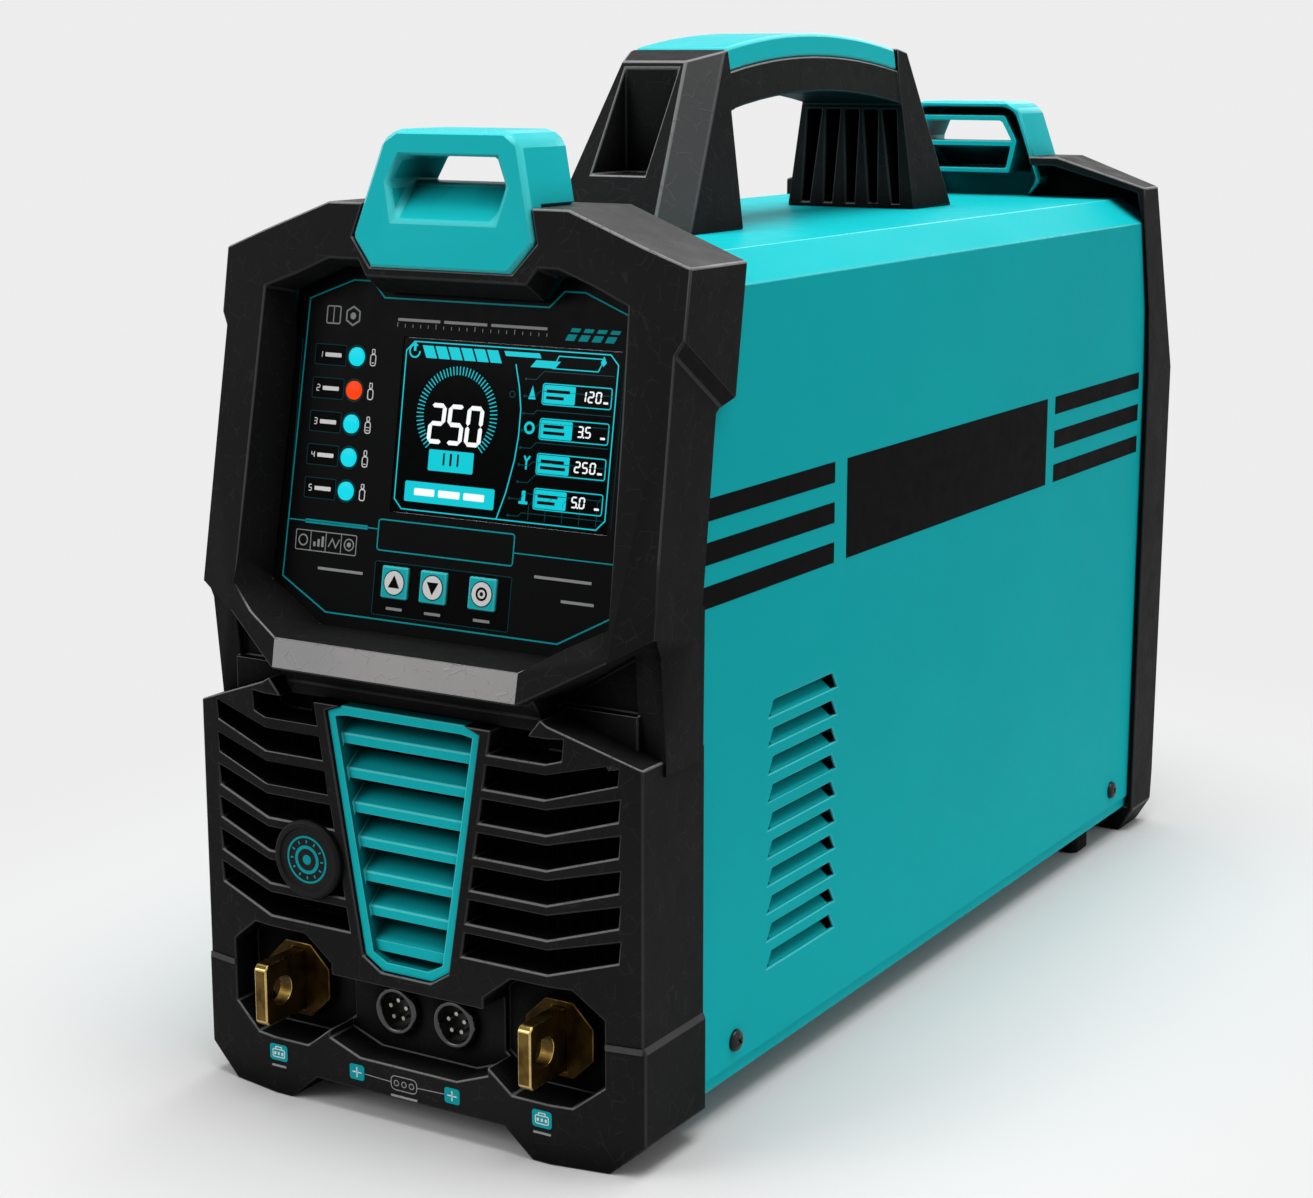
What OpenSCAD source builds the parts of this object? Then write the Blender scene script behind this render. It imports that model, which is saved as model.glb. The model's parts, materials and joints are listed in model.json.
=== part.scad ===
// Portable stud welder: moulded front and rear frames on a sheet-metal case with a carrying handle.
// The front faces -Y, +X is to the right seen from the front, +Z is up and the floor is Z = 0.

/* [Case] */
// Outside width of the sheet cover
case_w = 222; // [214:1:236]
// Height of the cover's flat top above the floor
case_h = 372; // [368:1:390]
// Distance from the lower front face back to the rear edge of the cover
cover_end = 566; // [540:1:620]
// Thickness of the cover, tray and panel sheet
sheet = 1.5; // [1:0.1:2.5]
// Width of the sloping strip along each top edge of the cover
bevel_w = 19; // [12:1:28]
// Height of the sloping strip
bevel_h = 12.5; // [8:0.5:18]
// Height of the tray's underside above the floor
tray_z = 15.5; // [14.5:0.5:22]
// Height of the cover's lower edge above the tray's underside
cover_gap = 6.5; // [4:0.5:9]
// Height of the tray's side walls
tray_wall = 30; // [26:1:40]
// Half width of a square rear foot
foot_half = 10.5; // [8:0.5:13]

/* [Side louvres] */
// Number of louvres on each side
louvre_count = 10; // [4:1:12]
// Distance between louvres
louvre_pitch = 12.75; // [11:0.25:16]
// Height of a louvre slit
louvre_h = 7.3; // [5:0.1:9]
// Length of a louvre along its upper edge
louvre_l = 56; // [40:1:80]
// Height of the lowest louvre above the floor
louvre_z = 56; // [52:1:80]
// Distance of the louvres from the lower front face
louvre_y = 145; // [110:1:200]

/* [Front frame] */
// Thickness of the frame wall outside the cover
wall = 4; // [3:0.5:6]
// Angle by which the control panel leans back
lean = 10; // [6:0.5:13]
// Height of the crest above the cover's top
crest_rise = 19; // [14:1:26]
// Half width of the level crest
crest_half = 60.5; // [54:0.5:70]
// How far the shoulders stand out past the lower frame
shoulder_out = 2; // [1:0.5:4]
// Depth of the control panel below the frame's front face
recess = 19.5; // [14:0.5:24]
// How far the visor under the panel stands out past the frame's front face
visor_out = 11.5; // [6:0.5:14]
// Half width of the visor's front edge
visor_half = 62; // [50:1:70]
// Height of the visor's front edge
visor_h = 13.4; // [10:0.2:16]
// Height of the frame's seam with the lower block
seam_z = 174; // [170:1:178]
// Depth of the lower block
block_d = 52; // [50:1:60]
// How far the middle of the lower block stands forward of its lower front edge
block_out = 4.5; // [2:0.5:7]
// Half width of the lower block's flat middle
block_flat = 73; // [70:1:80]

/* [Front grille] */
// Number of air slots on each side
slot_count = 7; // [5:1:7]
// Distance between air slots
slot_pitch = 14.9; // [13:0.1:15]
// Height of an air slot
slot_h = 10.3; // [6:0.1:11]
// Depth of the slats between the slots
slat_d = 14.5; // [10:0.5:18]
// Half width of the centre grille at its top
grille_top = 39.6; // [34:0.2:42]
// Half width of the centre grille at its bottom
grille_bottom = 22.4; // [18:0.2:28]
// Width of the centre grille's rim
grille_rim = 4.3; // [3:0.1:6]
// Radius of the round badge boss
badge_r = 17.6; // [14:0.2:20]

/* [Output terminals and sockets] */
// Distance of each terminal from the side of the cover
terminal_side = 42; // [39:0.5:45]
// Height of the terminals
terminal_z = 50.5; // [48:0.5:54]
// Thickness of a terminal blade
blade_t = 6.4; // [4:0.2:9]
// Height of a terminal blade
blade_h = 28; // [22:1:32]
// How far a blade reaches past the lower front edge
blade_out = 17.5; // [14:0.5:24]
// Diameter of the bolt hole in a blade
blade_bore = 13; // [8:0.5:14]
// Width across the flats of the terminal's flange
flange_af = 34; // [30:1:40]
// Radius of the terminal's stud
stud_r = 8; // [6:0.5:10]
// Depth of the terminal recess behind the lower front edge
pocket_y = 15; // [12:0.5:17]
// Distance of each control socket from the middle
socket_x = 15.4; // [13:0.2:18]
// Height of the control sockets
socket_z = 45.7; // [43:0.5:48]
// Radius of a control socket's collar
socket_r = 11; // [9.5:0.25:12]

/* [Control panel] */
// Height of the panel's lower edge above the floor
panel_z = 214.6; // [210:0.5:220]
// Width of the display window
screen_w = 109.2; // [90:1:112]
// Height of the display window
screen_h = 74.6; // [60:0.5:80]
// Distance from the panel's middle to the display's middle
screen_x = 24.4; // [18:0.2:28]
// Height of the display's lower edge above the panel's lower edge
screen_z = 47; // [46:0.5:54]
// Side of a square key
key_w = 14; // [10:0.5:16]
// Travel of a key
key_travel = 1; // [0.5:0.1:1.5]
// Radius of an indicator lens
lens_r = 4; // [2.5:0.25:5]

/* [Handle and lugs] */
// Half width of the handle at its foot
handle_foot = 37.5; // [34:0.5:42]
// Half width of the handle at the top of its grip
handle_half = 24.5; // [20:0.5:28]
// Height of the grip's underside above the cover at its middle
grip_clear = 62; // [50:1:70]
// Height of the black part of the grip
grip_h = 17; // [12:1:22]
// Height of the coloured cap on the grip
cap_h = 11; // [7:0.5:14]
// Rise of the grip from its ends to its middle
grip_rise = 8; // [4:0.5:12]
// Depth of a carrying lug
lug_d = 34.7; // [30:0.1:40]
// How far a lug's front stands out past the frame
lug_out = 2.2; // [1:0.2:4]

/* [Fan] */
// Outside width of the fan
fan_w = 120; // [92:1:120]
// Depth of the fan
fan_d = 38; // [25:1:40]
// Number of fan blades
blade_count = 7; // [5:1:9]

/* [Hidden] */
$fn = 48;

// Finishes
teal = [0.07, 0.62, 0.64];
black = [0.12, 0.12, 0.12];
brass = [0.66, 0.49, 0.17];
steel = [0.72, 0.73, 0.75];
board_green = [0.05, 0.32, 0.18];

// General clearances and lengths
fit = 0.2;
run_fit = 0.08;
far = 200;
case_half = case_w / 2;
inner_half = case_half - sheet;
terminal_x = case_half - terminal_side;
tray_top = tray_z + sheet;
tray_half = inner_half - sheet;
cover_low = tray_z + cover_gap;
cover_start = 44;

// The whole object is centred front to back: the blades reach furthest forward, the rear frame furthest back
rear_y = cover_end + 28;
mid_y = (rear_y - blade_out) / 2;

// Front frame
frame_half = case_half + wall;
crest_z = case_h + crest_rise;
shoulder_z = case_h - 2;
panel_y = 23.6;
brow = 14.3;
panel_h = (case_h - panel_z) / cos(lean) - brow;
opening_low = 9.2;
sill_front = -10.1;
sill_rear = -4.7;
visor_base = sill_front - visor_h;
chin_z = 8.7;
notch_front = 130.3;
notch_rear = 100;
notch_rise = 6.6;
frame_rear = 20.5;
shoulder_rear = 26.5;
opening_half = 95.8;
opening_half_top = 91.6;
cheek_w = 12;
seam_lap = 6;

// Control panel, measured up and into the leaning panel
panel_t = 2;
panel_lap = 3;
glass_in = 0.4;
module_rim = 3;
key_x = [-23.7, -3.6, 21.6];
key_z = 17.1;
key_out = 1.5;
key_rim = 1.2;
key_stem = 3;
lens_x = -54.3;
lens_z = 53.7;
lens_pitch = 14.5;
lens_count = 5;
lens_out = 0.6;

// Board behind the panel: its depth, the edges of its two arms and the switches on it
board_y = 9;
board_t = 1.6;
board_x = [-78, -40, 40];
board_z = [3, 30, lens_z + lens_count * lens_pitch - 7];
switch_w = 7;
switch_h = 3.2;

// Lower block
leg_in = frame_half - 51;
leg_out = frame_half - 16.2;
leg_chamfer = 13.7;
arch_z = tray_z - 3.5;
arch_half = leg_in - 14.3;
shoe_z = 57;
shoe_out = 1.2;
slot_base = 83.3;
slot_bend = block_flat - 1;
slot_end = frame_half - 12;
slot_rise = 9;
slot_gap = 5.5;
thick_z = 80;
thick_y = 20;
socket_floor = 12;
pocket_half = [28.5, 25.6];
pocket_cut = [14, 11];
grille_low = 68;
grille_high = seam_z + 9;
grille_back = 1.7;
fin_front = 4.6;

// Turns a flat outline drawn in X and Z into a bar along Y
module along_y(y0, y1) translate([0, y1, 0]) rotate([90, 0, 0]) linear_extrude(y1 - y0) children();
// Turns a flat outline drawn in Y and Z into a bar along X
module along_x(x0, x1) translate([x0, 0, 0]) rotate([90, 0, 90]) linear_extrude(x1 - x0) children();
// A round bar along Y
module rod_y(r, y0, y1) translate([0, y0, 0]) rotate([-90, 0, 0]) cylinder(r = r, h = y1 - y0);
// A round bar along X
module rod_x(r, x0, x1) translate([x0, 0, 0]) rotate([0, 90, 0]) cylinder(r = r, h = x1 - x0);
// A box between two corners
module block(a, b) translate(a) cube(b - a);
module both_sides() { children(); mirror([1, 0, 0]) children(); }
// The leaning frame of the control panel: its Z runs up the panel and its Y goes in
module on_panel() translate([0, panel_y, panel_z]) rotate([-lean, 0, 0]) children();
// Moves the object from its front edge to its middle
module centred() translate([0, -mid_y, 0]) children();

// A closed outline from the points of its right half
function whole(half) = concat(half, [for (i = [len(half) - 1:-1:0]) [-half[i].x, half[i].y]]);
// A solid between two loops of the same count, drawn in X and Z
module loft_y(a, ya, b, yb) {
  n = len(a);
  points = concat([for (p = a) [p.x, ya, p.y]], [for (p = b) [p.x, yb, p.y]]);
  sides = [for (i = [0:n - 1]) let (j = (i + 1) % n) each [[i, j, n + j], [i, n + j, n + i]]];
  front = [for (i = [1:n - 2]) [0, i + 1, i]];
  back = [for (i = [1:n - 2]) [n, n + i, n + i + 1]];
  polyhedron(points, concat(front, back, sides));
}

// Outlines of the case
module cover_outline(inset = 0, low = cover_low) polygon(whole([
  [case_half - inset, low], [case_half - inset, case_h - bevel_h - inset / 2],
  [case_half - bevel_w - inset / 2, case_h - inset]]));
module roof_outline() polygon(whole([
  [far, 0], [far, shoulder_z], [frame_half + shoulder_out, shoulder_z], [crest_half, crest_z]]));
function block_outline() = [
  [arch_half, arch_z], [leg_in, 0], [leg_out, 0], [frame_half, leg_chamfer], [frame_half, shoe_z - 2.7],
  [frame_half - shoe_out, shoe_z], [frame_half - shoe_out, seam_z], [block_flat, seam_z + 14.5],
  [block_flat - 3.5, seam_z + 16.7], [block_flat - 9.6, grille_high]];

// Height of the sill between the visor's edge and the panel at a depth behind the frame's face
function sill_z(depth) = sill_front + (sill_rear - sill_front) * (depth + visor_out) / (recess + visor_out);
// Outlines of the control panel opening at a depth behind the frame's face
function opening(depth, lap = 0) = whole([
  [visor_half + lap, sill_z(depth) - lap],
  [opening_half - 0.32 * depth + lap, opening_low + 0.14 * depth],
  [opening_half_top - 0.29 * depth + lap, panel_h - 7 - 0.03 * depth + lap / 2],
  [58 + 0.13 * depth, panel_h + 6 - 0.15 * depth + lap],
  [48 + 0.05 * depth, panel_h + 6 - 0.15 * depth + lap],
  [38 + 0.2 * depth, panel_h - 1 - 0.33 * depth + lap]]);
module panel_outline(lap) polygon(opening(recess, lap));
// Points across the panel's width for the front of the frame
function face_plan(out) = whole([
  [frame_half + shoulder_out + 1, 40], [frame_half + shoulder_out + 1, -recess + 3.2],
  [frame_half - 19, -recess],
  [visor_half, -recess - out]]);

// Carrying lug: a hollow moulding, level from front to back, with a hand hole on a sloping floor
lug_low = crest_z - 26.2;
lug_side = crest_z - 14.1;
lug_top = crest_z + 30.5;
lug_face = -recess - lug_out;
lug_seat = -recess + 8;
lug_wall = 3;
hole_low = crest_z - 7.2;
hole_mid = crest_z + 8.3;
hole_top = crest_z + 19.8;
hole_run = 20;
// Y of a point at a depth in the leaning frame and a height above the floor
function lean_y(depth, z) = panel_y + (depth + (z - panel_z) * sin(lean)) / cos(lean);
hole_y = lean_y(lug_face, hole_low);
function lug_outline(inset = 0) = whole([
  [35.9 - inset, lug_low - inset], [46.4 - 1.1 * inset, lug_side],
  [34.8 - 1.1 * inset, lug_top - 4.7 - inset / 2], [27.6 - inset / 2, lug_top - inset]]);
function hole_outline(grow = 0) = whole([
  [24.6 + 0.7 * grow, hole_low - grow], [28.9 + 1.1 * grow, hole_mid], [23.3 + 0.7 * grow, hole_top + grow]]);
module lean_slab(y0, y1) on_panel() block([-far, y0, -far], [far, y1, far * 2]);
module lug_slot(back) intersection() {
  along_y(-far, far) polygon(lug_outline());
  lean_slab(-far, back);
}
module lug_hole() intersection() {
  along_y(-far, far) polygon(hole_outline());
  along_x(-far, far) polygon([[-far, hole_low], [hole_y, hole_low], [hole_y + hole_run, hole_mid],
    [far, hole_mid], [far, far * 3], [-far, far * 3]]);
}
// The space under the sloping floor
module lug_pocket() intersection() {
  along_y(-far, far) polygon(hole_outline());
  along_x(-far, far) polygon([[hole_y + 2 * lug_wall, hole_low],
    [hole_y + hole_run + lug_wall, hole_mid - lug_wall], [far, hole_mid - lug_wall], [far, hole_low]]);
}
// Below the crest the lug is a thin tongue, or runs its full depth
module lug_body(full) difference() {
  intersection() {
    along_y(-far, far) polygon(lug_outline());
    union() {
      lean_slab(lug_face, full ? lug_face + lug_d : lug_seat);
      intersection() {
        lean_slab(lug_face, lug_face + lug_d);
        block([-far, -far, crest_z], [far, far, far * 3]);
      }
    }
  }
  lug_hole();
  lug_pocket();
  difference() {
    intersection() {
      along_y(-far, far) polygon(lug_outline(lug_wall));
      lean_slab(lug_face + lug_wall, far);
    }
    along_y(-far, far) polygon(hole_outline(lug_wall));
  }
}

// Front frame round the control panel, with its visor and the pillars down to the lower block
module front_fascia() color(black) difference() {
  union() {
    difference() {
      frame_body();
      intersection() {
        along_y(-far, far) cover_outline(0, 0);
        on_panel() block([-far, 0, chin_z], [far, far, far * 2]);
      }
      lug_slot(lug_seat);
    }
    frame_pillars();
  }
  on_panel() along_y(0, far) panel_outline(panel_lap);
  on_panel() loft_y(opening(-40), -recess - 40, opening(recess), 0.01);
  along_y(cover_start - fit, far) cover_outline(0, 0);
  along_y(-far, far) polygon(whole(block_outline()));
}
// The leaning frame with the visor under it
module frame_body() intersection() {
  on_panel() union() {
    intersection() {
      loft_y(frame_loop(notch_front), -40, frame_loop(notch_rear), 30);
      linear_extrude(far * 2, center = true) polygon(face_plan(1));
      along_x(-far, far) polygon([[-40, visor_base], [frame_rear, visor_base],
        [frame_rear, notch_rear], [shoulder_rear + 2, notch_rear + notch_rise + 1],
        [shoulder_rear, 240], [-40, 240]]);
    }
    intersection() {
      along_y(-40, 0) polygon(whole([[visor_half, visor_base], [frame_half, chin_z],
        [frame_half, opening_low + 8]]));
      linear_extrude(far * 2, center = true) polygon(face_plan(visor_out));
      along_x(-far, far) polygon([[-recess - visor_out, visor_base], [0, visor_base],
        [0, opening_low + 8], [-recess, opening_low + 8], [-recess - 0.5, opening_low],
        [-recess - visor_out, sill_front + 2]]);
    }
  }
  along_y(-far, far) roof_outline();
}
// Cheeks, back wall and chin that stand on the lower block
module frame_pillars() {
  both_sides() along_x(frame_half - cheek_w, frame_half) polygon([[11, panel_z + 11],
    [14.6, panel_z + 3], [18.8, seam_z], [18.8, seam_z - seam_lap], [cover_start - 0.5, seam_z - seam_lap],
    [cover_start - 0.5, panel_z + 18], [12.5, panel_z + 18]]);
  both_sides() along_x(case_half, frame_half) polygon([[cover_start - 1, seam_z - seam_lap],
    [cover_start + 4.5, seam_z - seam_lap], [cover_start + 5.5, panel_z + 18],
    [cover_start - 1, panel_z + 18]]);
  along_y(20, 24) polygon(whole([[frame_half - 2, seam_z - seam_lap], [frame_half - 2, panel_z + 8],
    [visor_half, panel_z - 16]]));
  along_x(-visor_half - 4, visor_half + 4) polygon([[-6, panel_z - 14], [3, seam_z + 15],
    [3, seam_z], [24, seam_z], [24, panel_z - 6], [4, panel_z - 6]]);
  both_sides() block([visor_half, 15, seam_z], [frame_half - cheek_w + 1, 21, seam_z + 18]);
}
function frame_loop(notch) = whole([
  [visor_half, visor_base], [frame_half + 0.3, chin_z], [frame_half - 1.5, notch],
  [frame_half + shoulder_out, notch + notch_rise], [frame_half + shoulder_out, 240]]);

// Lower block: air slots, centre grille opening, terminal recesses and socket recess
module slot_outline(index) {
  z = slot_base + index * slot_pitch;
  inner = grille_edge(z) + slot_gap;
  inner_up = grille_edge(z + slot_h) + slot_gap;
  top_slot = index == slot_count - 1;
  end = top_slot ? slot_bend + 7 : slot_end;
  rise = top_slot ? 2 : slot_rise;
  polygon([[inner, z], [slot_bend, z], [end, z + rise], [end + 0.8, z + rise + slot_h - 1.5],
    [slot_bend, z + slot_h], [inner_up, z + slot_h]]);
}
function grille_edge(z) = grille_bottom + (grille_top - grille_bottom) * (z - grille_low - 6)
  / (grille_high - grille_low - 9);
function grille_outline(inset = 0) = whole([
  [grille_bottom - 9.4 - inset / 2, grille_low + inset], [grille_bottom - inset, grille_low + 6 + inset / 2],
  [grille_top - inset, grille_high - 3 - inset / 2], [grille_top - 8 - inset / 2, grille_high - inset]]);
module pocket_outline() translate([terminal_x - 0.5, terminal_z + 1.7]) polygon(whole([
  [pocket_half.x - pocket_cut.x, -pocket_half.y], [pocket_half.x, -pocket_half.y + pocket_cut.y],
  [pocket_half.x, pocket_half.y - pocket_cut.y], [pocket_half.x - pocket_cut.x, pocket_half.y]]));
module block_plan(y1) polygon(whole([[block_flat, -block_out], [frame_half + 1, block_out - 1.3],
  [frame_half + 1, y1]]));
module lower_front() color(black) difference() {
  intersection() {
    along_y(-far, block_d) polygon(whole(block_outline()));
    linear_extrude(far * 2) block_plan(block_d);
  }
  block([-case_half, slat_d - block_out, thick_z], [case_half, far, seam_z - 3]);
  block([-block_flat + 12, slat_d - block_out, seam_z - 6], [block_flat - 12, 18, seam_z + 6]);
  block([-case_half, thick_y, tray_z], [case_half, far, thick_z + 1]);
  block([-case_half, cover_start - 1, tray_z], [case_half, far, far]);
  both_sides() for (i = [0:slot_count - 1]) along_y(-far, slat_d) slot_outline(i);
  along_y(-far, slat_d) polygon(grille_outline());
  both_sides() along_y(-far, pocket_y) pocket_outline();
  along_y(-far, socket_floor) polygon(whole([[25.5, socket_z - 19], [41.6, socket_z - 13],
    [41, socket_z + 16]]));
  both_sides() translate([terminal_x, 0, terminal_z]) rod_y(stud_r + fit, 0, far);
  both_sides() translate([socket_x, 0, socket_z]) rod_y(socket_r - 2 + fit, 0, far);
}

// Louvred coloured grille in the middle of the lower block
module centre_grille() color(teal) intersection() {
  along_y(-far, far) polygon(grille_outline());
  union() {
    difference() {
      along_y(-block_out + grille_back, slat_d - block_out) polygon(grille_outline());
      along_y(-far, far) polygon(grille_outline(grille_rim));
    }
    for (i = [0:slot_count - 1]) translate([0, 0, slot_base - 2.5 + i * slot_pitch])
      along_x(-grille_top, grille_top) polygon([[-0.2, 0], [slat_d - block_out, 6.5],
        [slat_d - block_out, 4], [-0.2, -fin_front]]);
  }
}

// Plain round boss in front of the left slats
badge_x = -49.5;
badge_z = 113;
module badge_disc() color(black) translate([badge_x, -block_out, badge_z]) rotate([90, 0, 0])
  rotate_extrude() polygon([[0, 0], [badge_r, 0], [badge_r, 2.2], [badge_r - 1.2, 3.4], [badge_r - 3.2, 3.4],
    [badge_r - 3.6, 2.4], [0, 2.4]]);

module front_lug() color(teal) lug_body(false);
module rear_lug() color(teal) difference() {
  rear_place() lug_body(true);
  along_y(cover_start, cover_end) cover_outline();
}

// Rear frame, a hoop of the same family as the front frame, a little higher at its crest
rear_reach = 54;
rear_shift = cover_end + rear_reach;
rear_rise = 4;
rear_top_half = frame_half - 1.5;
rear_kink = 274;
rear_chamfer = 8;
rear_front = cover_end - 7;
rear_crest = crest_z + rear_rise;
hoop_wall = 5;
// How far the rear corners fall away sideways and with height above the kink
corner_in = 0.43;
corner_fall = 0.29;
module rear_place() translate([0, rear_shift, rear_rise]) mirror([0, 1, 0]) children();
module rear_corner() multmatrix([[1, 0, 0, 0],
  [-corner_in, 1, -corner_fall, rear_y + corner_in * frame_half + corner_fall * rear_kink],
  [0, 0, 1, 0], [0, 0, 0, 1]]) block([-far, 0, 0], [far, far, far * 3]);
module rear_bezel() color(black) difference() {
  intersection() {
    along_y(rear_front - 24, rear_y) polygon(whole([[frame_half - rear_chamfer, 0], [frame_half, leg_chamfer],
      [frame_half, rear_kink], [rear_top_half, shoulder_z + 5 + rear_rise], [crest_half, rear_crest]]));
    along_x(-far, far) polygon([[rear_front, 0], [rear_y - 6, 0], [rear_y - 3, 30],
      [rear_y, rear_kink], [rear_y - 12, rear_crest], [rear_y - 12, far * 3], [rear_front - 20, far * 3],
      [rear_front - 15, shoulder_z], [rear_front - 2, rear_kink + 36], [rear_front, rear_kink]]);
  }
  both_sides() rear_corner();
  along_y(-far, cover_end) cover_outline(0, tray_z);
  along_y(0, far * 5) polygon(whole([[case_half - 12, tray_z + 14], [case_half - 12, case_h - bevel_h - 14],
    [case_half - bevel_w - 12, case_h - 14]]));
  along_y(0, cover_end) polygon(whole([[case_half, case_h - bevel_h],
    [rear_top_half - hoop_wall, shoulder_z + rear_rise + 2], [crest_half - 3, rear_crest - hoop_wall]]));
  rear_place() lug_slot(far);
}

// Control panel plate and what sits in it
module control_panel() color([0.05, 0.06, 0.07]) on_panel() difference() {
  along_y(0, panel_t) panel_outline(panel_lap - fit);
  block([screen_x - screen_w / 2, -1, screen_z], [screen_x + screen_w / 2, far, screen_z + screen_h]);
  for (x = key_x) translate([x, 0, key_z]) block([-1, 0, -1] * (key_w / 2 + fit) - [0, 1, 0],
    [1, 0, 1] * (key_w / 2 + fit) + [0, far, 0]);
  at_lenses() rod_y(lens_r + fit / 2, -1, far);
}
module display_glass() color([0.02, 0.03, 0.04]) on_panel()
  block([screen_x - screen_w / 2 + fit, glass_in, screen_z + fit],
    [screen_x + screen_w / 2 - fit, panel_t, screen_z + screen_h - fit]);
module display_module() color(steel) on_panel()
  block([screen_x - screen_w / 2 - module_rim, panel_t, screen_z - module_rim],
    [screen_x + screen_w / 2 + module_rim, board_y - 1, screen_z + screen_h + module_rim]);
module at_lenses() for (i = [0:lens_count - 1]) translate([lens_x, 0, lens_z + i * lens_pitch]) children();
module indicator_lenses() color([0.1, 0.8, 0.9]) on_panel() at_lenses() rod_y(lens_r, -lens_out, board_y);
// A square key held behind the panel by its flange
module key(index) color(teal) on_panel() translate([key_x[index], 0, key_z]) {
  key_slab(key_w / 2, -key_out, panel_t + fit);
  key_slab(key_w / 2 + key_rim, panel_t + fit, panel_t + fit + key_rim);
  rod_y(key_stem, panel_t + fit + key_rim, board_y - switch_h - fit - key_travel);
}
module key_slab(half, y0, y1) block([-half, y0, -half], [half, y1, half]);
module key_up() key(0);
module key_down() key(1);
module key_set() key(2);
// Board behind the panel with a switch under each key
module panel_board() color(board_green) on_panel() {
  along_y(board_y, board_y + board_t) polygon([[board_x[0], board_z[0]], [board_x[2], board_z[0]],
    [board_x[2], board_z[1]], [board_x[1], board_z[1]], [board_x[1], board_z[2]], [board_x[0], board_z[2]]]);
  for (x = key_x) translate([x, 0, key_z]) key_slab(switch_w / 2, board_y - switch_h, board_y);
}
module panel_standoffs() color(steel) on_panel()
  for (p = [[board_x[0] + 6, board_z[0] + 9], [board_x[0] + 6, board_z[2] - 15.5],
      [board_x[2] - 4, board_z[0] + 4], [board_x[1] - 6, board_z[1] - 6]])
    translate([p.x, 0, p.y]) rod_y(2.5, panel_t, board_y);

// Brass terminal: a bolt blade brazed into the slot of an eight-sided flange with a threaded stud
blade_cut = 2;
bore_wall = 4.5;
flange_t = 6;
braze_gap = 0.1;
blade_seat = pocket_y - flange_t / 2;
module blade(x) color(brass) translate([x, 0, terminal_z]) difference() {
  along_x(-blade_t / 2, blade_t / 2) polygon([[-blade_out, -blade_h / 2 + blade_cut],
    [-blade_out + blade_cut, -blade_h / 2], [blade_seat, -blade_h / 2], [blade_seat, blade_h / 2],
    [-blade_out + blade_cut, blade_h / 2], [-blade_out, blade_h / 2 - blade_cut]]);
  translate([0, blade_bore / 2 + bore_wall - blade_out, 0]) rod_x(blade_bore / 2, -far, far);
}
module flange(x) color(brass) translate([x, 0, terminal_z]) difference() {
  union() {
    translate([0, pocket_y, 0]) rotate([90, 0, 0]) rotate([0, 0, 22.5])
      cylinder(r = flange_af / 2 / cos(22.5), h = flange_t, $fn = 8);
    rod_y(stud_r, pocket_y, block_d - 8);
  }
  block([-blade_t / 2 - braze_gap, -far, -blade_h / 2 - braze_gap],
    [blade_t / 2 + braze_gap, blade_seat, blade_h / 2 + braze_gap]);
}
module left_terminal() blade(-terminal_x);
module right_terminal() blade(terminal_x);
module left_flange() flange(-terminal_x);
module right_flange() flange(terminal_x);
// Nuts that hold the studs and the bus bars
nut_t = 9;
bus_t = 4;
bus_y = thick_y + nut_t;
bus_half = 15;
bus_end = 21;
module terminal_nuts() color(brass) both_sides() translate([terminal_x, 0, terminal_z])
  for (y = [thick_y, bus_y + bus_t]) translate([0, y, 0]) rotate([-90, 0, 0]) difference() {
    cylinder(r = stud_r * 1.75, h = y == thick_y ? nut_t : nut_t - 3, $fn = 6);
    translate([0, 0, -1]) cylinder(r = stud_r + 0.05, h = far);
  }
module bus_bar(side) color([0.72, 0.4, 0.2]) mirror([side < 0 ? 1 : 0, 0, 0]) difference() {
  union() {
    block([terminal_x - bus_half, bus_y, terminal_z - bus_half],
      [terminal_x + bus_end, bus_y + bus_t, terminal_z + bus_half]);
    block([terminal_x + bus_end - bus_t, bus_y, terminal_z - bus_half],
      [terminal_x + bus_end, sink_y, terminal_z + bus_half]);
  }
  translate([terminal_x, 0, terminal_z]) rod_y(stud_r + fit, 0, far);
}
module left_bus_bar() bus_bar(-1);
module right_bus_bar() bus_bar(1);

// Round control sockets: shell, insulating insert, pins and nut
collar_t = 4.2;
socket_bore = socket_r - 3.2;
module socket(x) color(black) translate([x, socket_floor, socket_z]) rotate([90, 0, 0]) rotate_extrude()
  polygon([[socket_bore, collar_t - 1.2], [socket_bore + 1, collar_t], [socket_r - 1, collar_t],
    [socket_r, collar_t - 1], [socket_r, 0], [socket_r - 2, 0], [socket_r - 2, -18], [socket_bore, -18]]);
module left_socket() socket(-socket_x);
module right_socket() socket(socket_x);
module socket_inserts() color([0.16, 0.16, 0.17]) both_sides() translate([socket_x, socket_floor, socket_z])
  rod_y(socket_bore, 4, 18);
module socket_pins() color([0.8, 0.75, 0.6]) both_sides() translate([socket_x, socket_floor, socket_z])
  for (i = [0:4]) rotate([0, 72 * i, 0]) translate([0, 0, socket_bore * 0.55]) rod_y(0.9, -1.5, 4);
module socket_nuts() color(steel) both_sides() translate([socket_x, thick_y, socket_z]) rotate([-90, 0, 0])
  difference() {
    cylinder(r = socket_r + 2, h = 4, $fn = 6);
    translate([0, 0, -1]) cylinder(r = socket_r - 2 + 0.05, h = far);
  }

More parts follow.
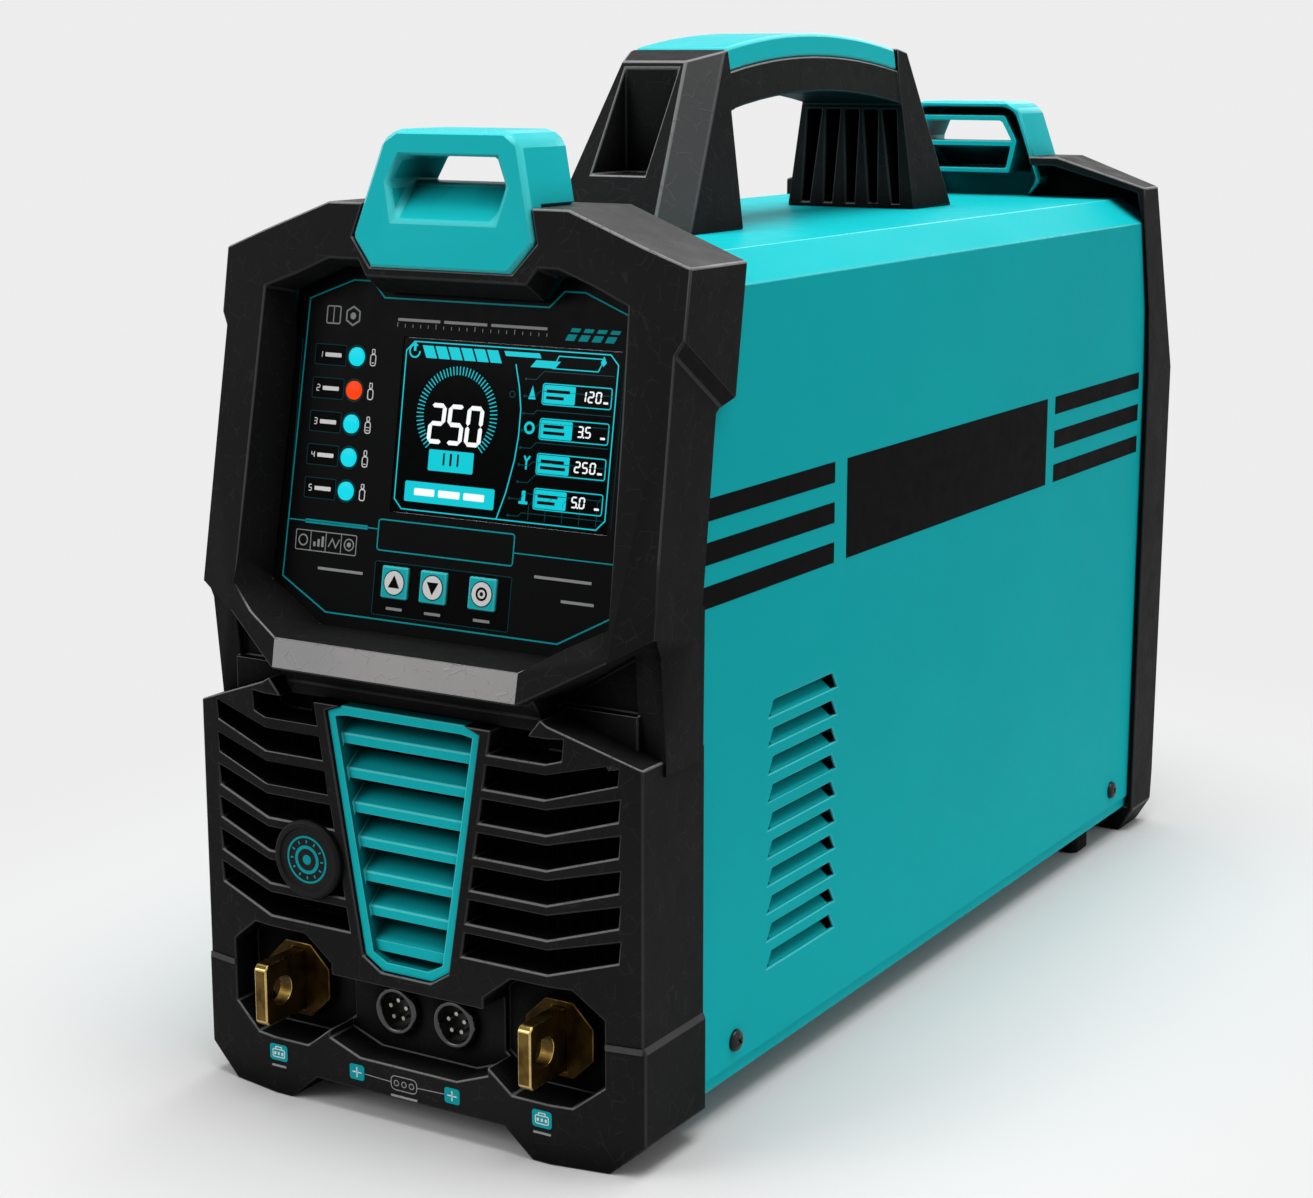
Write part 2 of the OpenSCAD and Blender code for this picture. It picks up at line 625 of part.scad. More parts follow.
// Sheet cover: sides, bevelled top, louvres, and holes for screws and handle bolts
screw_z = 32.5;
screw_r = 2.4;
screw_y = [84, cover_end - 34];
function louvre_height(i) = louvre_z + i * louvre_pitch;
module louvre_outline(i) translate([louvre_y, louvre_height(i)]) polygon([[-louvre_l / 2 - 4.6, 0],
  [louvre_l / 2 + 4.6, 0], [louvre_l / 2, louvre_h], [-louvre_l / 2, louvre_h]]);
module side_cover() color(teal) {
  difference() {
    along_y(cover_start, cover_end) difference() {
      cover_outline();
      cover_outline(sheet, -1);
    }
    on_panel() block([-far, -far, 0], [far, 0.5, far * 2]);
    for (i = [0:louvre_count - 1]) along_x(-far, far) louvre_outline(i);
    for (y = screw_y) translate([0, y, screw_z]) rod_x(screw_r + fit, -far, far);
    for (y = bolt_y, s = [-1, 1]) translate([s * bolt_x, y, case_h - 10]) cylinder(r = bolt_r + fit, h = 20);
  }
  both_sides() for (i = [0:louvre_count - 1]) translate([0, louvre_y, louvre_height(i)])
    along_y(-louvre_l / 2, louvre_l / 2) polygon([[inner_half + 0.3, 0.01], [inner_half + 0.3, -1.4],
      [inner_half - 6, louvre_h - 3.6], [inner_half - 6, louvre_h - 2.2]]);
}
module base_tray() color([0.06, 0.5, 0.52]) difference() {
  union() {
    block([-inner_half, thick_y + 2, tray_z], [inner_half, cover_end, tray_top]);
    both_sides() block([tray_half, cover_start + 2, tray_z], [inner_half, cover_end, tray_z + tray_wall]);
  }
  for (y = screw_y) translate([0, y, screw_z]) rod_x(screw_r + fit, -far, far);
}
module cover_screws() color(black) both_sides() for (y = screw_y) translate([0, y, screw_z]) {
  rod_x(screw_r, inner_half - 8, case_half);
  translate([case_half, 0, 0]) rotate([0, 90, 0]) rotate_extrude() polygon([[0, 0], [4.9, 0], [4.9, 1.4],
    [3.8, 2.6], [1.6, 2.8], [1.6, 1.2], [0, 1.2]]);
}
// Rubber feet under the rear of the tray
foot_x = tray_half - 16;
foot_in = 54;
foot_y = cover_end - foot_in;
foot_cut = 3;
module rear_feet() color([0.08, 0.08, 0.08]) both_sides() translate([foot_x, foot_y, 0])
  linear_extrude(tray_z) polygon(whole([[foot_half - foot_cut, -foot_half],
    [foot_half, -foot_half + foot_cut], [foot_half, foot_half - foot_cut],
    [foot_half - foot_cut, foot_half]]));

// Inner front plate and rear panel
front_plate_y = cover_start + 2;
plate_rim = 14.5;
plate_window = screen_x + screen_w / 2 + module_rim + 4;
module inner_outline(top) polygon(whole([[tray_half, tray_top], [tray_half, tray_z + tray_wall],
  [inner_half, tray_z + tray_wall], [inner_half, top]]));
module front_plate() color(steel) along_y(front_plate_y, front_plate_y + sheet) difference() {
  inner_outline(panel_z + 110);
  polygon(whole([[inner_half - plate_rim, tray_top + 7], [inner_half - plate_rim, seam_z + 8]]));
  polygon(whole([[plate_window, panel_z - 6], [plate_window, panel_z + far]]));
}
panel_back = cover_end - 10;
panel_front = panel_back - sheet;
fan_z = 236;
switch_x = -55;
switch_z = 112;
gland_x = 55;
gland_z = 112;
gland_r = 10;
earth_z = 70;
earth_r = 4;
switch_half = [14, 21];
fan_hole = fan_w / 2 - 3;
fan_bolt = fan_w * 0.4375;
module rear_panel() color(teal) along_y(panel_front, panel_back) difference() {
  union() {
    inner_outline(case_h - bevel_h - 20);
    intersection() {
      cover_outline(sheet, 0);
      translate([-far, case_h - bevel_h - 21]) square([far * 2, far]);
    }
  }
  translate([0, fan_z]) circle(r = fan_hole);
  for (sx = [-1, 1], sz = [-1, 1]) translate([sx * fan_bolt, fan_z + sz * fan_bolt]) circle(r = 2.2);
  translate([switch_x, switch_z]) square(switch_half * 2, center = true);
  translate([gland_x, gland_z]) circle(r = gland_r + fit);
  translate([0, earth_z]) circle(r = earth_r + 0.1);
}

// Handle: two pylons and an arched grip, with a coloured cap along its top
handle_y = 313.5;
foot_long = 161.5;
top_long = 113;
rear_foot = 137.5;
rear_top = 103;
front_in = 92;
rear_in = 90;
grip_long = 86;
cap_from = handle_y - 89;
cap_to = handle_y + rear_in;
bolt_x = 15;
bolt_r = 3;
bolt_y = [handle_y - 108, handle_y + 118];
grip_low = case_h + grip_clear;
grip_top = grip_low + grip_h + cap_h;
// Height of a grip line that lies a given height above the grip's underside at the middle
function arch(y, up) = grip_low + up - grip_rise * pow((y - handle_y) / (grip_long + 8), 2);
function arch_line(y0, y1, up, n = 12) = [for (i = [0:n]) let (y = y0 + (y1 - y0) * i / n) [y, arch(y, up)]];
function arch_back(y0, y1, up) = let (line = arch_line(y0, y1, up)) [for (i = [len(line) - 1:-1:0]) line[i]];
// Both sides lean in from the foot to the top, and the grip is set back a little between the pylons
handle_lean = (handle_foot - handle_half) / (grip_top - case_h);
grip_in = 0.8;
module side_taper(y0, y1, inset) along_y(y0, y1) polygon(whole([
  [handle_foot - inset, case_h], [handle_foot - inset - handle_lean * 110, case_h + 110]]));
// Half widths and height of the front pylon's sloping face
front_foot = 28;
front_half = 17;
front_rise = 76.8;
module handle_body() color(black) difference() {
  intersection() {
    union() {
      side_taper(-far, cap_from, 0);
      side_taper(cap_from - 1, cap_to + 1, grip_in);
      side_taper(cap_to, far * 4, 0);
    }
    along_x(-far, far) polygon(concat(
      [[handle_y - foot_long, case_h], [handle_y - front_in - 2, case_h]],
      arch_line(handle_y - front_in, handle_y + rear_in, 0),
      [[handle_y + rear_in, case_h], [handle_y + rear_foot, case_h],
        [handle_y + rear_top, grip_top - 9], [cap_to + 2, grip_top - 7]],
      arch_back(cap_from, cap_to, grip_h),
      [[cap_from, grip_top - 8], [handle_y - top_long, case_h + front_rise]]));
  }
  both_sides() front_bevel();
  for (i = [-2:2]) rib_groove(i);
  pylon_pocket();
  rear_pocket();
  for (y = bolt_y, s = [-1, 1]) translate([s * bolt_x, y, case_h - 1])
    cylinder(r = bolt_r + fit, h = bolt_l + 2);
}
// A solid between two plans of the same count, drawn in X and the way to the front
module loft_z(a, za, b, zb) rotate([90, 0, 0]) loft_y(a, za, b, zb);
// Sloping cut along the front corners of the front pylon
bevel_slope = 0.53;
function bevel_plan(up) = let (half = front_foot + (front_half - front_foot) * up / front_rise,
  y = handle_y - foot_long + (foot_long - top_long) * up / front_rise)
  [[half - 10 * bevel_slope, 10 - y], [half + 60 * bevel_slope, -60 - y], [far, -60 - y], [far, 10 - y]];
module front_bevel() loft_z(bevel_plan(-1), case_h - 1, bevel_plan(110), case_h + 110);
// Upright groove in the inner face of the rear pylon, wider and deeper towards its top
groove_low = [13.4, 2.6, 8];
groove_high = [11, 4.7, 13];
function groove_plan(i, size) = let (y = handle_y + rear_in)
  [[i * size.x, -size.z - y], [i * size.x + size.y, 1 - y], [i * size.x - size.y, 1 - y]];
module rib_groove(i) loft_z(groove_plan(i, groove_low), case_h + 2.5,
  groove_plan(i, groove_high), grip_low - grip_rise - 2.5);
// Hollows in the sloping outer faces of the pylons
hollow_half = 14.2;
hollow_low = case_h + 26;
hollow_top = case_h + front_rise - 1.8;
hollow_back = 108.5;
module pylon_pocket() along_x(-hollow_half, hollow_half) polygon([[handle_y - foot_long, hollow_low],
  [handle_y - top_long - 2, hollow_low], [handle_y - top_long - 2, hollow_top],
  [handle_y - foot_long, hollow_top]]);
module rear_pocket() block([-hollow_half, handle_y + hollow_back, hollow_low],
  [hollow_half, handle_y + rear_foot, hollow_low + 34]);
module handle_cap() color(teal) intersection() {
  along_x(-far, far) polygon(concat(arch_line(cap_from, cap_to, grip_h),
    arch_back(cap_from, cap_to, grip_h + cap_h)));
  side_taper(-far, far * 4, grip_in);
}
bolt_l = 15;
module handle_bolts() color(steel) for (y = bolt_y, s = [-1, 1]) translate([s * bolt_x, y, case_h - sheet]) {
  cylinder(r = bolt_r, h = bolt_l);
  mirror([0, 0, 1]) cylinder(r = bolt_r * 1.8, h = 4);
}

// Cooling fan on the rear panel
fan_front = panel_front - fan_d;
hub_r = 20;
spindle_r = 3;
module fan_frame() color([0.1, 0.1, 0.1]) translate([0, 0, fan_z]) {
  difference() {
    block([-fan_w / 2, fan_front, -fan_w / 2], [fan_w / 2, panel_front, fan_w / 2]);
    rod_y(fan_hole, fan_front - 1, panel_front + 1);
    for (sx = [-1, 1], sz = [-1, 1]) translate([sx * fan_bolt, 0, sz * fan_bolt])
      rod_y(2.2, fan_front - 1, panel_front + 1);
  }
  rod_y(hub_r, fan_front, fan_front + 6);
  for (a = [45:90:315]) rotate([0, a, 0]) block([-3, fan_front, hub_r - 2], [3, fan_front + 6, fan_hole + 1]);
  rod_y(spindle_r, fan_front, panel_front - 4);
}
module fan_rotor() color([0.14, 0.14, 0.15]) translate([0, 0, fan_z]) difference() {
  union() {
    rod_y(hub_r, fan_front + 6.3, panel_front - 2);
    intersection() {
      rod_y(fan_hole - 1.5, fan_front + 7.5, panel_front - 3);
      for (i = [0:blade_count - 1]) rotate([0, 360 / blade_count * i, 0]) translate([0, fan_front + 21, 0])
        rotate([0, 0, 40]) block([-1.1, -24, hub_r - 4], [1.1, 24, fan_w / 2]);
    }
  }
  rod_y(spindle_r + run_fit, fan_front, panel_front - 3.9);
}
// Wire guard outside the rear panel
wire_r = 1.3;
module fan_guard() color(steel) translate([0, panel_back + wire_r, fan_z]) {
  for (r = [24:10.5:fan_hole]) rotate([90, 0, 0]) rotate_extrude() translate([r, 0])
    square(wire_r * 2, center = true);
  for (a = [45:90:315]) rotate([0, a, 0])
    block([-wire_r, -wire_r, 20], [wire_r, wire_r, fan_bolt * sqrt(2) - 3]);
  for (sx = [-1, 1], sz = [-1, 1]) translate([sx * fan_bolt, 0, sz * fan_bolt]) difference() {
    rod_y(4.6, -wire_r, wire_r);
    rod_y(2.2, -far, far);
  }
}
module fan_screws() color(black) for (sx = [-1, 1], sz = [-1, 1])
  translate([sx * fan_bolt, panel_back + wire_r * 2, fan_z + sz * fan_bolt]) {
    rod_y(2, -fan_d * 0.5, 0);
    rod_y(3.8, 0, 2.4);
  }

// Power stage: a heat sink on each side with a board and capacitors above them
sink_y = 230;
sink_l = 100;
sink_h = 120;
sink_in = 38;
sink_web = 8;
sink_end = inner_half - 9.5;
fin_count = 9;
fin_t = 4;
module heat_sink(side) color([0.75, 0.76, 0.78]) mirror([side < 0 ? 1 : 0, 0, 0]) {
  block([sink_in, sink_y, tray_top], [sink_in + sink_web, sink_y + sink_l, tray_top + sink_h]);
  for (i = [0:fin_count - 1]) translate([0, sink_y, tray_top + i * (sink_h - fin_t) / (fin_count - 1)])
    block([sink_in + sink_web - 1, 0, 0], [sink_end, sink_l, fin_t]);
}
module left_heat_sink() heat_sink(-1);
module right_heat_sink() heat_sink(1);
power_z = tray_top + sink_h;
power_t = 2;
power_lap = 5;
module power_board() color(board_green) block([-sink_end, sink_y - power_lap, power_z],
  [sink_end, sink_y + sink_l + power_lap, power_z + power_t]);
can_r = 17.5;
can_h = 50;
can_edge = 2;
can_x = 60;
module capacitor_bank() color([0.1, 0.13, 0.22]) for (x = [-can_x, 0, can_x], y = [1, 3] * sink_l / 4)
  translate([x, sink_y + y, power_z + power_t]) rotate_extrude() polygon([[0, 0], [can_r, 0],
    [can_r, can_h - can_edge], [can_r - can_edge * 0.75, can_h], [0, can_h]]);

// Transformer: a core with two windows and a winding on its middle leg
trafo_y = 372;
core_half = 52;
core_h = 96;
core_d = 44;
core_leg = 13;
window = [24, 60];
winding_gap = 1;
winding_over = 20;
module transformer_core() color([0.2, 0.2, 0.22]) along_y(trafo_y, trafo_y + core_d) difference() {
  polygon(whole([[core_half, tray_top], [core_half, tray_top + core_h]]));
  for (s = [-1, 1]) translate([s * (core_leg + window.x / 2), tray_top + core_h / 2])
    square(window, center = true);
}
module transformer_winding() color([0.72, 0.42, 0.2])
  translate([0, trafo_y + core_d / 2, tray_top + core_h / 2]) difference() {
    cube([core_leg + window.x - winding_gap, core_d / 2 + winding_over, window.y / 2 - winding_gap] * 2,
      center = true);
    cube([core_leg * 2, core_d, window.y], center = true);
  }

// Output choke on the tray and the control board on posts above it
choke_y = 150;
choke_in = 20;
choke_out = 50;
choke_h = 40;
choke_edge = 2;
module output_choke() color([0.72, 0.42, 0.2]) translate([0, choke_y, tray_top]) rotate_extrude()
  polygon([[choke_in + choke_edge, 0], [choke_out - choke_edge, 0], [choke_out, choke_edge],
    [choke_out, choke_h - choke_edge], [choke_out - choke_edge, choke_h], [choke_in + choke_edge, choke_h],
    [choke_in, choke_h - choke_edge], [choke_in, choke_edge]]);
control_up = 72;
control_z = tray_top + control_up;
control_half = [terminal_x + bus_end - bus_t - 8, 60];
post = control_half - [8, 6];
module at_posts() for (x = [-1, 1], y = [-1, 1]) translate([x * post.x, choke_y + y * post.y, 0]) children();
module control_board() color(board_green) difference() {
  block([-control_half.x, choke_y - control_half.y, control_z],
    [control_half.x, choke_y + control_half.y, control_z + board_t]);
  at_posts() translate([0, 0, control_z - 1]) cylinder(r = 1.6, h = 4);
}
module board_standoffs() color(brass) at_posts() translate([0, 0, tray_top])
  cylinder(r = 4, h = control_z - tray_top, $fn = 6);

// Rear fittings: rocker switch, cable gland and earth stud
switch_rim = 3;
switch_wall = 2;
switch_d = 30;
switch_well = 14;
pivot_in = 3;
pivot_r = 1.6;
rocker_gap = 0.4;
rocker_tilt = 9;
rocker_half = switch_half.y - 3.5;
module switch_block(half, y0, y1) block([-half.x, y0, -half.y], [half.x, y1, half.y]);
module mains_switch() color(black) translate([switch_x, panel_back, switch_z]) difference() {
  union() {
    switch_block(switch_half, -switch_d, 0);
    switch_block(switch_half + [1, 1] * switch_rim, 0, switch_wall);
  }
  switch_block(switch_half - [1, 1] * switch_wall, -switch_well, far);
  translate([0, -pivot_in, 0]) rod_x(pivot_r + run_fit, -switch_half.x + 0.8, switch_half.x - 0.8);
}
module mains_rocker() color([0.6, 0.1, 0.08]) translate([switch_x, panel_back - pivot_in, switch_z]) {
  side = switch_half.x - switch_wall - rocker_gap;
  rotate([rocker_tilt, 0, 0]) intersection() {
    along_x(-side, side) polygon([[-6, -rocker_half + 3.5], [3, -rocker_half], [8, -rocker_half], [6, 0],
      [8, rocker_half], [3, rocker_half], [-6, rocker_half - 3.5]]);
    rod_x(switch_half.y - switch_wall - 0.6, -far, far);
  }
  rod_x(pivot_r, -switch_half.x + 1, switch_half.x - 1);
}
module cable_gland() color(black) translate([gland_x, panel_back, gland_z]) difference() {
  union() {
    rotate([-90, 0, 0]) cylinder(r = gland_r * 1.45, h = 7, $fn = 6);
    rotate([-90, 0, 0]) rotate_extrude() polygon([[0, 7], [gland_r * 1.2, 7], [gland_r * 1.2, 16],
      [gland_r * 0.85, 22], [0, 22]]);
    rod_y(gland_r, -14, 0);
  }
  rod_y(gland_r * 0.6, -far, far);
}
module gland_nut() color(black) translate([gland_x, panel_front, gland_z]) rotate([90, 0, 0]) difference() {
  cylinder(r = gland_r * 1.45, h = 6, $fn = 6);
  translate([0, 0, -1]) cylinder(r = gland_r + 0.05, h = far);
}
module earth_stud() color(brass) translate([0, 0, earth_z]) {
  rod_y(earth_r, panel_front, panel_back + 22);
  translate([0, panel_front, 0]) rotate([90, 0, 0]) cylinder(r = earth_r * 1.8, h = 5, $fn = 6);
}
module earth_nut() color(brass) translate([0, panel_back, earth_z]) rotate([-90, 0, 0]) difference() {
  cylinder(r = earth_r * 1.8, h = 6.5, $fn = 6);
  translate([0, 0, -1]) cylinder(r = earth_r + 0.05, h = far);
}

centred() front_fascia();
centred() lower_front();
centred() front_lug();
centred() rear_lug();
centred() rear_bezel();
centred() control_panel();
centred() display_glass();
centred() display_module();
centred() indicator_lenses();
centred() key_up();
centred() key_down();
centred() key_set();
centred() panel_board();
centred() panel_standoffs();
centred() centre_grille();
centred() badge_disc();
centred() left_terminal();
centred() right_terminal();
centred() left_flange();
centred() right_flange();
centred() terminal_nuts();
centred() left_bus_bar();
centred() right_bus_bar();
centred() left_socket();
centred() right_socket();
centred() socket_inserts();
centred() socket_pins();
centred() socket_nuts();
centred() side_cover();
centred() base_tray();
centred() rear_feet();
centred() front_plate();
centred() rear_panel();
centred() handle_body();
centred() handle_cap();
centred() handle_bolts();
centred() cover_screws();
centred() fan_frame();
centred() fan_rotor();
centred() fan_guard();
centred() fan_screws();
centred() left_heat_sink();
centred() right_heat_sink();
centred() power_board();
centred() capacitor_bank();
centred() transformer_core();
centred() transformer_winding();
centred() output_choke();
centred() control_board();
centred() board_standoffs();
centred() mains_switch();
centred() mains_rocker();
centred() cable_gland();
centred() gland_nut();
centred() earth_stud();
centred() earth_nut();
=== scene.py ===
import json
import math

import bmesh
import bpy
import numpy as np
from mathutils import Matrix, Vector
from mathutils.bvhtree import BVHTree
from mathutils.geometry import intersect_point_line


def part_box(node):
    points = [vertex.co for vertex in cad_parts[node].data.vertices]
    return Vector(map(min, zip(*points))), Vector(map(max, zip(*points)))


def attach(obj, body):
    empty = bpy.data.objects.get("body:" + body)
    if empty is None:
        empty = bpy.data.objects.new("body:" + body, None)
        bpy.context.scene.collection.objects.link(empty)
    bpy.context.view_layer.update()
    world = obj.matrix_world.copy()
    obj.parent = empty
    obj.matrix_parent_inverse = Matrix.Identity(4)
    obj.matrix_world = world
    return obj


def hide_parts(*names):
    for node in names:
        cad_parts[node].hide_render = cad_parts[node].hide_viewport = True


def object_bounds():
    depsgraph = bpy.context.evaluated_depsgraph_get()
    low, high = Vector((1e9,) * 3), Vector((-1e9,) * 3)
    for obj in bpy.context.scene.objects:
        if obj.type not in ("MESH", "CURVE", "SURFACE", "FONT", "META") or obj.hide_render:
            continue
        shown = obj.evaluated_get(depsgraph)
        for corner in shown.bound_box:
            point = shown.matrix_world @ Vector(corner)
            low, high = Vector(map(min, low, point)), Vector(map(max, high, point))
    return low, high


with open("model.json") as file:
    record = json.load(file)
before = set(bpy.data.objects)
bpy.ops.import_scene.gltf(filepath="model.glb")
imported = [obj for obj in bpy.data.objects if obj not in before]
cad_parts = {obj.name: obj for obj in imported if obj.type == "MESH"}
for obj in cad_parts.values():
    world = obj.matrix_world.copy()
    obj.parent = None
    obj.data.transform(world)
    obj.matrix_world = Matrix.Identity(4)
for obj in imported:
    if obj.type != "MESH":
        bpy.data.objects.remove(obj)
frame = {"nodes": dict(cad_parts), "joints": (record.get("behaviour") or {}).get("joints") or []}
cad_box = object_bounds()

mm = 0.001
RIGHT = Vector((1, 0, 0))
BACK = Vector((0, 1, 0))
UP = Vector((0, 0, 1))


# Measures taken from the frame

def span(node, direction):
    """Lowest and highest reach of a CAD node along a direction."""
    reach = [vertex.co.dot(direction) for vertex in frame["nodes"][node].data.vertices]
    return min(reach), max(reach)


def joint_axis(name):
    """Axis of a joint of the frame."""
    return Vector(next(joint["axis"] for joint in frame["joints"] if joint["name"] == name))


# The control panel leans back: keys press along INTO, and PANEL_UP runs up its face
INTO = joint_axis("key_up_press")
PANEL_UP = RIGHT.cross(INTO)
SCREEN_LOW = 47.2
panel_base = PANEL_UP * (span("display_glass", PANEL_UP)[0] - SCREEN_LOW * mm)


def panel_face(node):
    """The leaning face of a panel node, with the panel's lower edge as its zero."""
    return panel_base + INTO * span(node, INTO)[0], RIGHT, PANEL_UP


# Materials

# Reach of the painted shade in hollows; the grille's longer reach paints the shade that the visor casts on
# it.
HOLLOW_REACH = 22 * mm
GRILLE_REACH = 70 * mm
AO_SAMPLES = 8
NOISE = (0.3, 0.7)
STROKE_CELLS = 135
STROKE_W = 0.035
STROKE_BREAKS = 170
SPARK_GRAIN = 2600
PEEL_DEPTH = 0.04 * mm
METAL_DEPTH = 0.03 * mm
PLASTIC_DEPTH = 0.02 * mm
TRACK_DEPTH = 0.04 * mm
WIRE_DEPTH = 0.4 * mm


def add_node(tree, kind, inputs=None, **settings):
    """A new shader node with its settings made and its inputs set or linked."""
    made = tree.nodes.new(kind)
    for key, value in settings.items():
        setattr(made, key, value)
    for key, value in (inputs or {}).items():
        if isinstance(value, bpy.types.NodeSocket):
            tree.links.new(value, made.inputs[key])
        else:
            made.inputs[key].default_value = value
    return made


class Shader:
    """A procedural material: one Principled shader with noise in its colour, roughness and bump."""

    def __init__(self, name, values):
        self.material = bpy.data.materials.new(name)
        self.material.use_nodes = True
        self.tree = self.material.node_tree
        self.skin = self.tree.nodes["Principled BSDF"]
        self.place = self.node("ShaderNodeTexCoord").outputs["Object"]
        for socket, value in values.items():
            self.skin.inputs[socket].default_value = value

    def node(self, kind, inputs=None, **settings):
        return add_node(self.tree, kind, inputs, **settings)

    def noise(self, scale, detail, stretch=(1, 1, 1)):
        place = self.node("ShaderNodeMapping", {"Vector": self.place, "Scale": stretch}).outputs[0]
        inputs = {"Vector": place, "Scale": scale, "Detail": detail}
        return self.node("ShaderNodeTexNoise", inputs).outputs[0]

    def cells(self, scale):
        made = self.node("ShaderNodeTexVoronoi", {"Vector": self.place, "Scale": scale},
                         feature="DISTANCE_TO_EDGE")
        return made.outputs["Distance"]

    def remap(self, value, low, high, to_low, to_high):
        return self.node("ShaderNodeMapRange", {"Value": value, "From Min": low, "From Max": high,
                                                "To Min": to_low, "To Max": to_high}).outputs[0]

    def maths(self, operation, first, second):
        return self.node("ShaderNodeMath", {0: first, 1: second}, operation=operation).outputs[0]

    def mix(self, factor, first, second):
        return self.node("ShaderNodeMix", {0: factor, 6: first, 7: second}, data_type="RGBA").outputs[2]

    def hollow(self, reach):
        """Zero in narrow hollows and one on open faces."""
        made = self.node("ShaderNodeAmbientOcclusion", {"Distance": reach}, samples=AO_SAMPLES)
        return made.outputs["AO"]

    def upward(self, low, high):
        """Zero on faces that look down or aside and one on faces that look up."""
        normal = self.node("ShaderNodeNewGeometry").outputs["Normal"]
        return self.remap(self.node("ShaderNodeSeparateXYZ", {0: normal}).outputs["Z"], low, high, 0, 1)

    def colour(self, value):
        self.tree.links.new(value, self.skin.inputs["Base Color"])

    def rough(self, noise, low, high):
        self.tree.links.new(self.remap(noise, *NOISE, low, high), self.skin.inputs["Roughness"])

    def bump(self, height, distance, strength):
        made = self.node("ShaderNodeBump", {"Height": height, "Distance": distance, "Strength": strength})
        self.tree.links.new(made.outputs[0], self.skin.inputs["Normal"])


def rgb(red, green, blue):
    return red, green, blue, 1.0


def moulded_black(name, base, specular, stroke_depth, rough=0.45, top=0.0):
    """Black moulded plastic: faint broken polygon strokes over a fine spark grain, with painted shade in
    hollows and, when top is set, a painted highlight that lightens faces that look up.
    """
    shader = Shader(name, {"Specular IOR Level": specular})
    patch = shader.remap(shader.noise(7, 3), 0.35, 0.7, 0, 1)
    dull = rgb(base * 0.9, base * 0.9, base * 0.92)
    fair = rgb(base * 1.25, base * 1.2, base * 1.18)
    open_face = shader.mix(patch, dull, fair)
    # Painted highlight: faces that look up are lightened towards the top tone.
    if top:
        open_face = shader.mix(shader.upward(0.05, 0.75), open_face, rgb(top, top, top))
    line = shader.remap(shader.cells(STROKE_CELLS), 0, STROKE_W, 1, 0)
    broken = shader.remap(shader.noise(STROKE_BREAKS, 1), 0.5, 0.54, 0, 1)
    stroke = shader.maths("MULTIPLY", line, broken)
    bright = rgb(*[base * 1.15 + 0.011] * 3)
    open_face = shader.mix(shader.maths("MULTIPLY", stroke, 0.7), open_face, bright)
    # Painted shade: the colour darkens to black in hollows.
    shade = shader.remap(shader.hollow(HOLLOW_REACH), 0.35, 0.9, 0.06, 1)
    shader.colour(shader.mix(shade, rgb(0, 0, 0), open_face))
    shader.rough(shader.noise(90, 4), rough - 0.05, rough + 0.07)
    spark = shader.maths("MULTIPLY", shader.noise(SPARK_GRAIN, 1), 0.3)
    shader.bump(shader.maths("ADD", stroke, spark), stroke_depth * mm, 0.8)
    return shader.material


def teal_finish(name, base, specular, rough, peel, shade_low, reach=HOLLOW_REACH):
    """Teal paint or plastic with a slight orange peel, a little uneven in colour, with painted shade in
    hollows.
    """
    shader = Shader(name, {"Specular IOR Level": specular})
    deep = rgb(*(0.95 * part for part in base))
    open_face = shader.mix(shader.remap(shader.noise(9, 3), *NOISE, 0, 1), deep, rgb(*base))
    # Painted shade: the colour darkens in hollows.
    shade = shader.remap(shader.hollow(reach), 0.25, 0.85, shade_low, 1)
    shader.colour(shader.mix(shade, rgb(0, 0.004, 0.004), open_face))
    shader.rough(shader.noise(60, 3), rough - 0.04, rough + 0.05)
    shader.bump(shader.noise(peel, 2), PEEL_DEPTH, 0.5)
    return shader.material


def bare_metal(name, bright, dull, rough, stretch=(1, 1, 1), scratch=900):
    """Bare metal with a drawn or milled grain and dull stains."""
    shader = Shader(name, {"Metallic": 1.0})
    stain = shader.remap(shader.noise(120, 4), 0.38, 0.68, 0, 1)
    shader.colour(shader.mix(stain, rgb(*bright), rgb(*dull)))
    grain = shader.noise(scratch, 3, stretch)
    shader.rough(grain, rough - 0.08, rough + 0.12)
    shader.bump(grain, METAL_DEPTH, 0.5)
    return shader.material


def plain_plastic(name, base, rough, grain=700, specular=0.5, coat=0.0):
    """Smooth plastic, film or rubber with fine grain and faint colour variation."""
    shader = Shader(name, {"Specular IOR Level": specular, "Coat Weight": coat, "Coat Roughness": 0.08})
    deep = rgb(*(0.82 * part for part in base))
    shader.colour(shader.mix(shader.noise(40, 3), deep, rgb(*base)))
    shader.rough(shader.noise(150, 3), rough * 0.85, rough * 1.15)
    shader.bump(shader.noise(grain, 2), PLASTIC_DEPTH, 0.5)
    return shader.material


def lit_print(name, glow):
    """A lit part of the display or an indicator, with the gloss of the window over it."""
    shader = Shader(name, {"Emission Color": rgb(*glow), "Emission Strength": 1, "Specular IOR Level": 0.05})
    dark = rgb(*(0.04 * part for part in glow))
    shader.colour(shader.mix(shader.noise(300, 2), dark, rgb(*(0.06 * part for part in glow))))
    shader.rough(shader.noise(200, 2), 0.1, 0.16)
    return shader.material


def circuit_board(name):
    """Green laminate with lighter copper tracks under its lacquer."""
    shader = Shader(name, {"Specular IOR Level": 0.5})
    track = shader.remap(shader.cells(260), 0.02, 0.05, 1, 0)
    field = shader.mix(shader.noise(50, 3), rgb(0.006, 0.06, 0.026), rgb(0.01, 0.09, 0.04))
    shader.colour(shader.mix(track, field, rgb(0.03, 0.17, 0.07)))
    shader.rough(shader.noise(120, 3), 0.25, 0.4)
    shader.bump(track, TRACK_DEPTH, 0.6)
    return shader.material


